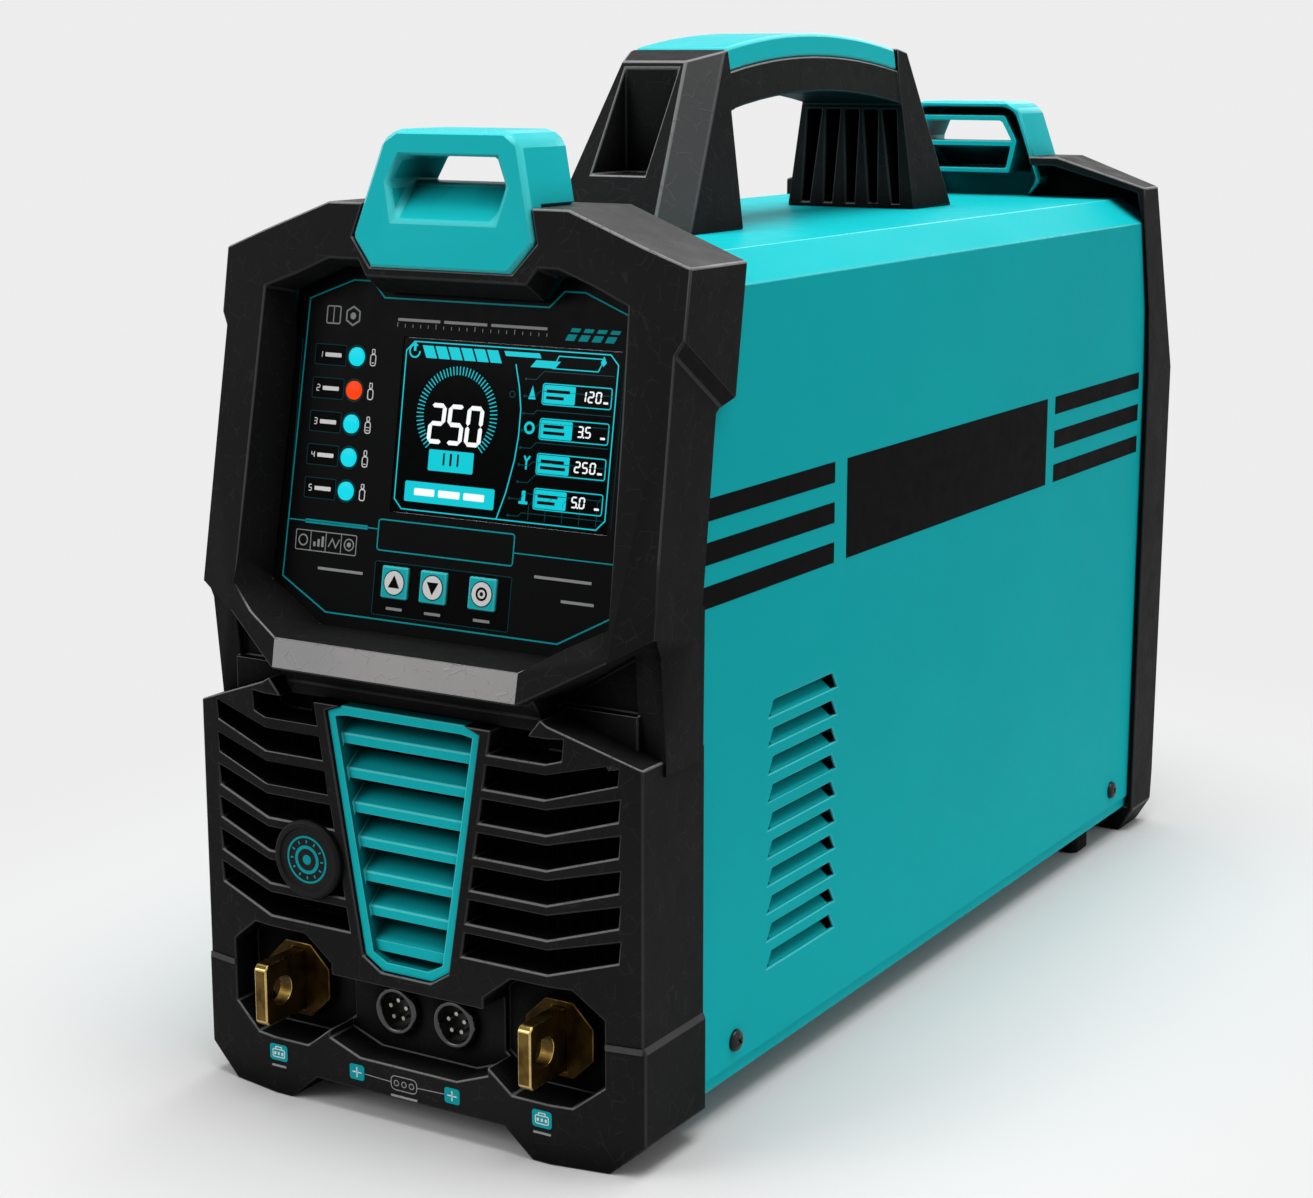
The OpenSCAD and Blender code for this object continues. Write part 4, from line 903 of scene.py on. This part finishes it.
def keys():
    for node, middle in zip(KEY_BODIES, KEY_X):
        dress(node, TEAL_PLASTIC, "teal_plastic", 0.9 * mm, node, 3)
        face = panel_face(node)
        disc = Print(node + "_disc", PRINT_WHITE, "teal_plastic", face, node)
        disc.disc((middle, KEY_Z), 5.2, 40)
        disc.done()
        mark = Print(node + "_symbol", PRINT_BLACK, "teal_plastic", face, node, 1)
        mark.ring((middle, KEY_Z), 5.4, 0.35, count=40)
        key_symbol(mark, node, middle)
        mark.done()


# Display content: a dial, a large number and four parameter fields

GAUGE = (0, 90.2)
FIELD_LOW = 97.7
FIELD_PITCH = 14.4
FIELDS = ("120", "3.5", "250", "5.0")
FIELD_ROWS = [FIELD_LOW - FIELD_PITCH * row for row in range(len(FIELDS))]


def chamfered(low, high, cut):
    return [(low[0] + cut, low[1]), (high[0] - cut, low[1]), (high[0], low[1] + cut),
            (high[0], high[1] - cut), (high[0] - cut, high[1]), (low[0] + cut, high[1]),
            (low[0], high[1] - cut), (low[0], low[1] + cut)]


def slanted(left, right, low, high, lean):
    return [(left, low), (right, low), (right + lean, high), (left + lean, high)]


def screen_cyan():
    art = Print("screen_cyan", CYAN_LIGHT, "screen_glass", SCREEN)
    art.line(chamfered((-28.6, 48.8), (77.4, 120), 4), 0.5, True)
    for step in range(6):
        left = -18 + step * 6.6
        art.slab(slanted(left, left + 5.6, 113.4, 118.6, -2.4))
    art.slab(slanted(22.4, 40, 116.6, 118.6, -1))
    art.slab(slanted(35, 47, 112.8, 115.8, 2.6))
    art.line(slanted(46, 68, 112.8, 118, 2.6), 0.45, True)
    art.ring((-24.2, 116), 3, 0.7, 60, 300, 24)
    art.slab([(-24.8, 116), (-23.6, 116), (-23.6, 119.6), (-24.8, 119.6)])
    art.slab([(70.3, 119.2), (68.9, 116.6), (70.3, 115), (71.7, 116.6)])
    ticks(art, GAUGE, 17, 20.6, 225, -270, 55, 0.42)
    art.box((-12.5, 66.2), (10.5, 75.2), 0.7)
    art.box((-23.5, 52.3), (22.5, 61), 0.8)
    art.line([(27.7, 113.5), (30.4, 104), (32, 95), (32, 84), (31, 74), (28, 60), (24.4, 49)], 0.5)
    for row, low in enumerate(FIELD_ROWS):
        art.frame((41.9, low), (75.7, low + 9), 0.45, 1.2)
        art.box((42.6, low + 0.7), (58, low + 8.3), 0.7)
        field_icon(art, row, (37, low + 4.5))
    art.done()


def field_icon(art, row, centre):
    x, z = centre
    if row == 0:
        art.slab([(x - 1.8, z - 2.6), (x + 1.8, z - 2.6), (x, z + 3)])
    elif row == 1:
        art.ring(centre, 2.6, 1.1, count=28)
    elif row == 2:
        art.line([(x - 1.2, z + 2.8), (x, z + 0.6), (x, z - 2.8)], 0.8)
        art.line([(x, z + 0.6), (x + 1.6, z + 2.8)], 0.8)
    else:
        art.box((x - 0.9, z - 2.8), (x + 0.9, z + 2.8), 0.5)
        art.box((x - 2.2, z - 2.8), (x + 2.2, z - 1.6), 0.3)


def screen_white():
    art = Print("screen_white", WHITE_LIGHT, "screen_glass", SCREEN, layer=1)
    art.number("250", (-14.4, 77.6), (8.4, 17.2), 1.9, 9.6, 0.05)
    for low, text in zip(FIELD_ROWS, FIELDS):
        art.number(text, (60.4, low + 2.2), (2.9, 4.8), 0.65, 3.7)
        art.box((71.8, low + 2.2), (74, low + 3.1), 0.2)
    for left, right in ((-18.5, -8), (-6, 5), (7, 17.5)):
        art.box((left, 55.2), (right, 58.2), 0.5)
    art.done()
    dark = Print("screen_dark", GLASS, "screen_glass", SCREEN, layer=1)
    for row, low in enumerate(FIELD_ROWS):
        dark.box((44, low + 5.1), (55.4 - 1.6 * (row % 2), low + 6.4), 0.2)
        dark.box((44, low + 2.4), (52.6 + 1.8 * (row % 3), low + 3.7), 0.2)
    dark.slab([(-1.6, 68.8), (-0.5, 68.8), (-0.5, 74), (-1.6, 74)])
    dark.line([(-4.6, 68.8), (-4.6, 74)], 0.9)
    dark.line([(2.6, 68.8), (2.6, 74)], 0.9)
    dark.done()


def screen_circuit():
    """Faint traces behind the parameter fields."""
    art = Print("screen_traces", DIM_LIGHT, "screen_glass", SCREEN)
    for step in range(9):
        low = 51 + step * 7.1
        left = 33.4 if low > 62 else 30
        jog = 1.6 + step % 3
        art.line([(left, low), (left + 5, low), (left + 5 + jog, low + jog), (76, low + jog)], 0.35)
        art.disc((left, low), 0.6, 10)
    for step in range(5):
        left = 40 + step * 8.3
        art.line([(left, 50), (left, 56 + step), (left + 2.5, 58.5 + step)], 0.3)
    art.ring((27.2, 101), 1.5, 0.4, count=20)
    art.done()


# Indicator lenses

DOME_H = 0.35 * mm
DOME_ANGLES = (0.35, 0.7, 1.05, 1.3)


def lenses():
    """Domed lenses of the indicators, one of them red."""
    left, right = span("indicator_lenses", RIGHT)
    radius = (right - left) / 2
    rim, foot = span("indicator_lenses", INTO)
    depth = foot - rim
    profile = [(radius * 0.9, -depth), (radius, -depth * 0.5), (radius, 0)]
    profile += [(radius * math.cos(angle), DOME_H * math.sin(angle)) for angle in DOME_ANGLES]
    profile.append((0, DOME_H))
    cyan_rows = [row for row in range(LED_COUNT) if row != RED_ROW]
    for name, look, rows in (("lenses_cyan", LENS_CYAN, cyan_rows), ("lens_red", LENS_RED, [RED_ROW])):
        shape = bmesh.new()
        for row in rows:
            centre = panel_base + RIGHT * LED_X * mm + PANEL_UP * LED_ROWS[row] * mm + INTO * rim
            turned(shape, profile, centre, -INTO)
        piece = new_piece(name, shape)
        smooth(piece.data)
        set_piece(piece, look, "lens_plastic", "root", ["indicator_lenses"])


# Marks of the lower front and the badge, and the floor of the rear lug

def lower_marks():
    face = (Vector((0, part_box("lower_front")[0].y, 0)), RIGHT, UP)
    teal = Print("lower_teal_marks", PRINT_TEAL, "black_plastic", face)
    line = Print("lower_light_marks", PRINT_WHITE, "black_plastic", face, layer=1)
    for x in (-70.6, 69):
        teal.box((x - 4.9, 15.8), (x + 4.9, 23.4), 1.4)
        line.frame((x - 3.4, 17.2), (x + 3.4, 21.2), 0.4, 0.8)
        line.line([(x - 1.6, 21.2), (x - 1.6, 22.2), (x + 1.6, 22.2), (x + 1.6, 21.2)], 0.4)
        for step in (-1, 0, 1):
            line.box((x + step * 2 - 0.5, 18.4), (x + step * 2 + 0.5, 19.8), 0.2)
    for x in (-27.2, 23.3):
        teal.box((x - 3.9, 16.2), (x + 3.9, 23.2), 1.2)
        line.line([(x - 2.4, 19.7), (x + 2.4, 19.7)], 0.5)
        line.line([(x, 17.4), (x, 22)], 0.5)
    teal.done()
    line.done()
    grey = Print("lower_grey_marks", PRINT_GREY, "black_plastic", face)
    grey.frame((-9, 15.9), (5, 22.6), 0.4, 2.4)
    for x in (-6, -2, 2):
        grey.ring((x, 19.2), 1.4, 0.4, count=20)
    grey.line([(-23, 19.7), (-9, 19.2)], 0.35)
    grey.line([(5, 19.2), (19.2, 19.7)], 0.35)
    for x, half in ((-70.6, 4), (69, 4.4), (-2, 7)):
        grey.box((x - half, 12.8), (x + half, 13.8), 0.3)
    grey.done()


def ledge_strips():
    """Carries the side ledges of the lower front's foot round its corners, in the lighter look that paints
    their sheen.
    """
    shape = flat_form("lower_front")
    sides = [face for face in shape.faces if is_ledge(face)]
    low = min(vertex.co.z for face in sides for vertex in face.verts) / mm
    high = max(vertex.co.z for face in sides for vertex in face.verts) / mm
    for name, sign in (("left_ledge", -1), ("right_ledge", 1)):
        corners = [face for face in shape.faces if 0.1 < face.normal.x * sign < 0.5 and face.normal.y < -0.8
                   and abs(face.normal.z) < 0.05]
        corner = max(corners, key=lambda face: face.calc_area())
        right = UP.cross(corner.normal)
        origin = corner.verts[0].co - UP * corner.verts[0].co.z
        reach = [(sign * x * mm - origin.x) / right.x / mm for x in LEDGE_X]
        art = Print(name, BLACK_FACET, "black_plastic", (origin, right, UP), layer=LEDGE_LAYERS)
        art.box((min(reach), low), (max(reach), high), 0.4)
        art.done()
    shape.free()


LUG_FLOOR_HALF = 32.4
LUG_FLOOR_Y = (10.0, 2.6)
LUG_FLOOR_UP = 0.2
LUG_FLOOR_LAYERS = 25


def lug_floor():
    """Closes the slit between the rear hoop and the back wall of the rear lug, as a floor of its hollow."""
    low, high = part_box("rear_lug")
    face = (Vector((0, high.y, low.z + LUG_FLOOR_UP * mm)), RIGHT, BACK)
    art = Print("rear_lug_floor", TEAL_PLASTIC, "teal_plastic", face, layer=LUG_FLOOR_LAYERS)
    front, back = LUG_FLOOR_Y
    art.slab(chamfered((-LUG_FLOOR_HALF, -front), (LUG_FLOOR_HALF, -back), 1.0))
    art.done()


BADGE_DISH = 1.0 * mm


def badge_rings():
    low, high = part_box("badge_disc")
    middle = (low + high) / 2
    face = (Vector((middle.x, low.y + BADGE_DISH, middle.z)), RIGHT, UP)
    art = Print("badge_rings", PRINT_TEAL, "black_plastic", face)
    art.ring((0, 0), 10.6, 0.9)
    art.ring((0, 0), 6.4, 1.5)
    ticks(art, (0, 0), 7.4, 8.8, 0, 330, 12, 0.7)
    art.disc((0, 0), 2.2, 24)
    art.done()


# Stripes and bare plates on the two sides

PLATE = (140, 373, 229.2, 274.9)
STRIPE_H = 9.35
STRIPE_GAPS = ((10, 128), (383.5, 508))


def side_marks():
    """A bare plate between stripes, on each side."""
    low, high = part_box("side_cover")
    for name, sign, x in (("right", 1, high.x), ("left", -1, low.x)):
        face = (Vector((x, low.y, 0)), BACK * sign, UP)
        art = Print(name + "_side_marks", DECAL, "teal_paint", face)
        y0, y1, z0, z1 = PLATE
        boxes = [(y0, y1, z0, z1)]
        step = (z1 - z0 - STRIPE_H) / 2
        for start, end in STRIPE_GAPS:
            boxes += [(start, end, z0 + step * row, z0 + step * row + STRIPE_H) for row in range(3)]
        for start, end, bottom, top in boxes:
            left, right = sorted((start * sign, end * sign))
            art.box((left, bottom), (right, top), 0.4)
        art.done()


# Screws, guard and rear fittings

CROSS_TAPER = 0.55
CROSS_LENGTH = 1.05
CROSS_W = 0.22
CROSS_DEPTH = 0.55
SHANK_SHARE = 0.5
SHANK_LENGTH = 3 * mm
HEAD_LAP = 0.02 * mm
HEAD_PROFILE = ((1, 0.3), (0.9, 0.66), (0.68, 0.9), (0.4, 1), (0, 1))


def cross_cutter(shape, centre, axis, length, width, depth):
    """Adds two crossing bars, sunk into a screw head along its axis."""
    side = axis.orthogonal().normalized()
    across = axis.cross(side)
    for one, two in ((side, across), (across, side)):
        rows = []
        for height, share in ((-depth, CROSS_TAPER), (depth, 1.0)):
            middle = centre + axis * height
            reach = one * length * share / 2
            half = two * width / 2
            rows.append([shape.verts.new(middle + reach * a + half * b)
                         for a, b in ((-1, -1), (1, -1), (1, 1), (-1, 1))])
        bridge(shape, rows)


def cover_screws():
    low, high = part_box("cover_screws")
    cover_low, cover_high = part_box("side_cover")
    radius = (high.z - low.z) / 2
    height = high.x - cover_high.x
    heads = bmesh.new()
    cuts = bmesh.new()
    shank = radius * SHANK_SHARE
    profile = [(shank, -SHANK_LENGTH), (shank, -HEAD_LAP), (radius, -HEAD_LAP)]
    profile += [(radius * wide, height * tall) for wide, tall in HEAD_PROFILE]
    for x, axis in ((cover_low.x, -RIGHT), (cover_high.x, RIGHT)):
        for y in (low.y + radius, high.y - radius):
            centre = Vector((x, y, low.z + radius))
            turned(heads, profile, centre, axis, 40)
            cross_cutter(cuts, centre + axis * height, axis, radius * CROSS_LENGTH, radius * CROSS_W,
                         height * CROSS_DEPTH)
    piece = new_piece("pan_head_screws", heads)
    cutter = new_piece("screw_cutter", cuts)
    cut = piece.modifiers.new("recess", "BOOLEAN")
    cut.object = cutter
    cut.operation = "DIFFERENCE"
    cut.use_self = True
    apply_modifiers(piece)
    bpy.data.objects.remove(cutter)
    smooth(piece.data, 35)
    set_piece(piece, BLACK_STEEL, "black_steel", "root", ["cover_screws"])


def wire(shape, points, radius, closed, sides=8):
    """Adds a round wire along points to a bmesh."""
    rows = []
    count = len(points)
    for index, point in enumerate(points):
        after = points[(index + 1) % count] if closed or index + 1 < count else point
        before = points[index - 1] if closed or index else point
        way = (after - before).normalized()
        side = BACK - way * BACK.dot(way)
        side.normalize()
        around = spokes(side, way.cross(side), sides)
        rows.append([shape.verts.new(point + spoke * radius) for spoke in around])
    bridge(shape, rows, closed)


GUARD_HOLE = 52.5 * mm
GUARD_R = 56 * mm
GUARD_RINGS = 6
GUARD_INNER = 0.18
GUARD_OUTER = 0.98
GUARD_WIRE = 0.26
LOOP_R = 3.6 * mm
BAR_START = 0.7
BAR_END = 0.95151


def fan_guard():
    """Finger guard of round wire rings welded on two crossing bars, with a loop at each screw."""
    low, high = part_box("fan_guard")
    middle = (low + high) / 2
    thick = (high.y - low.y) * GUARD_WIRE
    ring_y = high.y - thick
    bar_y = low.y + thick
    shape = bmesh.new()

    def place(x, y, z):
        return Vector((middle.x + x, y, middle.z + z))

    def ring(centre, radius, count):
        wire(shape, [centre + spoke * radius for spoke in spokes(RIGHT, UP, count)], thick, True)

    for step in range(GUARD_RINGS):
        share = GUARD_INNER + (GUARD_OUTER - GUARD_INNER) * step / (GUARD_RINGS - 1)
        ring(place(0, ring_y, 0), share * GUARD_R, 72)
    start = GUARD_INNER * GUARD_R * BAR_START
    end = GUARD_HOLE * BAR_END
    for sx in (-1, 1):
        for sz in (-1, 1):
            bar = [place(sx * reach, bar_y, sz * reach) for reach in (start, end)]
            wire(shape, bar, thick, False)
            ring(place(sx * GUARD_HOLE, bar_y, sz * GUARD_HOLE), LOOP_R, 24)
    piece = new_piece("fan_guard_wires", shape)
    smooth(piece.data, 60)
    set_piece(piece, ZINC, "zinc_steel", "root", ["fan_guard"])


def rocker_marks():
    """A bar and a ring on the two halves of the mains rocker."""
    shape = flat_form("mains_rocker")
    outside = [face for face in shape.faces if face.normal.y > 0.8]
    outside.sort(key=lambda face: -face.calc_area())
    halves = sorted(outside[:2], key=lambda face: -face.calc_center_median().z)
    for name, face in zip(("rocker_on", "rocker_off"), halves):
        up = face.normal.cross(-RIGHT)
        place = (face.calc_center_bounds(), -RIGHT, up)
        art = Print(name, PRINT_WHITE, "rocker_red", place, "mains_rocker")
        if name == "rocker_on":
            art.box((-0.7, -3), (0.7, 3), 0.3)
        else:
            art.ring((0, 0), 3, 1.1, count=32)
        art.done()
    shape.free()


FILTER_IN = 2 * mm
FILTER_FOLD = 3 * mm
FILTER_T = 1 * mm
FILTER_BEHIND = 4 * mm
FILTER_FOOT = 14 * mm
FILTER_GAP = 0.2 * mm


def intake_filter():
    """Pleated dust filter behind the air slots of the front, near black so that it paints the shade inside
    the case.
    """
    grille_low, grille_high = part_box("centre_grille")
    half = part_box("side_cover")[1].x - FILTER_IN
    front = grille_high.y + FILTER_BEHIND
    low = grille_low.z + FILTER_FOOT
    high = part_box("front_fascia")[0].z - FILTER_GAP
    count = int(half / FILTER_FOLD)
    outline = [(step * FILTER_FOLD, front + (step % 2) * FILTER_FOLD) for step in range(-count, count + 1)]
    outline += [(x, y + FILTER_T) for x, y in reversed(outline)]
    shape = bmesh.new()
    rows = [[shape.verts.new((x, y, z)) for x, y in outline] for z in (low, high)]
    bridge(shape, rows, caps=False)
    size = len(outline)
    for row in rows:
        for step in range(size // 2 - 1):
            shape.faces.new((row[step], row[step + 1], row[size - 2 - step], row[size - 1 - step]))
    set_piece(new_piece("intake_filter", shape), FILTER, "black_plastic")


# Stage, light and camera

FILL_LEVEL = 0.34
BACKDROP_LEVEL = 0.85
FLOOR_R = 6.0
FLOOR_FAR = 0.4
FLOOR_TONE = 0.73


def backdrop(tree):
    """Strength of the background: higher for the rays that see it than for those that light the object."""
    path = add_node(tree, "ShaderNodeLightPath").outputs
    seen = path["Is Camera Ray"]
    for name in ("Is Glossy Ray", "Is Transmission Ray"):
        inputs = {0: seen, 1: path[name]}
        seen = add_node(tree, "ShaderNodeMath", inputs, operation="ADD", use_clamp=True).outputs[0]
    inputs = {"Value": seen, "To Min": FILL_LEVEL, "To Max": BACKDROP_LEVEL}
    return add_node(tree, "ShaderNodeMapRange", inputs).outputs[0]


def stage():
    """Plain pale surroundings, in the standard view."""
    scene = bpy.context.scene
    scene.view_settings.view_transform = "Standard"
    scene.world = bpy.data.worlds.new("studio")
    scene.world.use_nodes = True
    tree = scene.world.node_tree
    sky = tree.nodes["Background"].inputs
    sky["Color"].default_value = rgb(1, 1, 1)
    tree.links.new(backdrop(tree), sky["Strength"])


def floor():
    """Pale floor that takes the object's shadow and fades into the background further out."""
    shape = bmesh.new()
    bmesh.ops.create_circle(shape, cap_ends=True, radius=FLOOR_R, segments=96)
    piece = new_piece("floor", shape)
    material = bpy.data.materials.new("pale_floor")
    material.use_nodes = True
    tree = material.node_tree
    tree.nodes.clear()
    tone = rgb(FLOOR_TONE, FLOOR_TONE, FLOOR_TONE)
    diffuse = add_node(tree, "ShaderNodeBsdfDiffuse", {"Color": tone})
    glow = add_node(tree, "ShaderNodeEmission", {"Strength": backdrop(tree)})
    middle = (cad_box[0] + cad_box[1]) / 2
    half = (cad_box[1] - cad_box[0]) / 2
    nought = (0, 0, 0)
    way = add_node(tree, "ShaderNodeTexCoord").outputs["Object"]
    for operation, other in (("SUBTRACT", (middle.x, middle.y, 0)), ("ABSOLUTE", nought),
                             ("SUBTRACT", (half.x, half.y, 0)), ("MAXIMUM", nought)):
        step = add_node(tree, "ShaderNodeVectorMath", {0: way, 1: other}, operation=operation)
        way = step.outputs["Vector"]
    away = add_node(tree, "ShaderNodeVectorMath", {0: way}, operation="LENGTH").outputs["Value"]
    fade = add_node(tree, "ShaderNodeMapRange", {"Value": away, "From Max": FLOOR_FAR},
                    interpolation_type="SMOOTHSTEP")
    parts = {index: part.outputs[0] for index, part in enumerate((fade, diffuse, glow))}
    mix = add_node(tree, "ShaderNodeMixShader", parts)
    add_node(tree, "ShaderNodeOutputMaterial", {"Surface": mix.outputs[0]})
    piece.data.materials.append(material)


def lamp(name, place, target, size, level):
    """Square soft light; its level is the brightness of its face."""
    light = bpy.data.lights.new(name, "AREA")
    light.shape = "SQUARE"
    light.size = size
    light.energy = level * math.pi * size * size
    piece = add_object(name, light)
    piece.location = place
    piece.rotation_euler = (Vector(target) - Vector(place)).to_track_quat("-Z", "Y").to_euler()
    piece.visible_camera = False


CAMERA_PLACE = (0.614986, -1.109344, 0.450695)
CAMERA_YAW = 0.540954
CAMERA_PITCH = 0.211195
PHOTO_W = 1313
FOCAL_PX = 2529.28
SENSOR = 36.0


def camera():
    """The camera that was solved from the photograph."""
    data = bpy.data.cameras.new("camera")
    data.sensor_fit = "HORIZONTAL"
    data.sensor_width = SENSOR
    data.lens = FOCAL_PX * SENSOR / PHOTO_W
    piece = add_object("camera", data)
    forward = Vector((-math.sin(CAMERA_YAW) * math.cos(CAMERA_PITCH),
                      math.cos(CAMERA_YAW) * math.cos(CAMERA_PITCH), -math.sin(CAMERA_PITCH)))
    piece.location = CAMERA_PLACE
    piece.rotation_euler = forward.to_track_quat("-Z", "Y").to_euler()
    bpy.context.scene.camera = piece


LAMPS = (
    ("overhead", (0.2, 0.0, 2.2), (0, 0.05, 0.2), 1.7, 5.2),
    ("front_key", (-1.4, -2.2, 1.5), (0, -0.1, 0.2), 1.6, 3.4),
    ("side_fill", (2.6, 0.3, 1.2), (0, 0.1, 0.2), 1.8, 0.8),
    ("rear_rim", (-0.3, 2.3, 1.5), (0, 0.1, 0.3), 1.4, 1.6),
)

for build in (keys, panel_teal, panel_black, panel_icons, screen_cyan, screen_white, screen_circuit, lenses,
              lower_marks, ledge_strips, lug_floor, badge_rings, side_marks, cover_screws, fan_guard,
              rocker_marks, intake_filter, stage, floor, camera):
    build()
for values in LAMPS:
    lamp(*values)
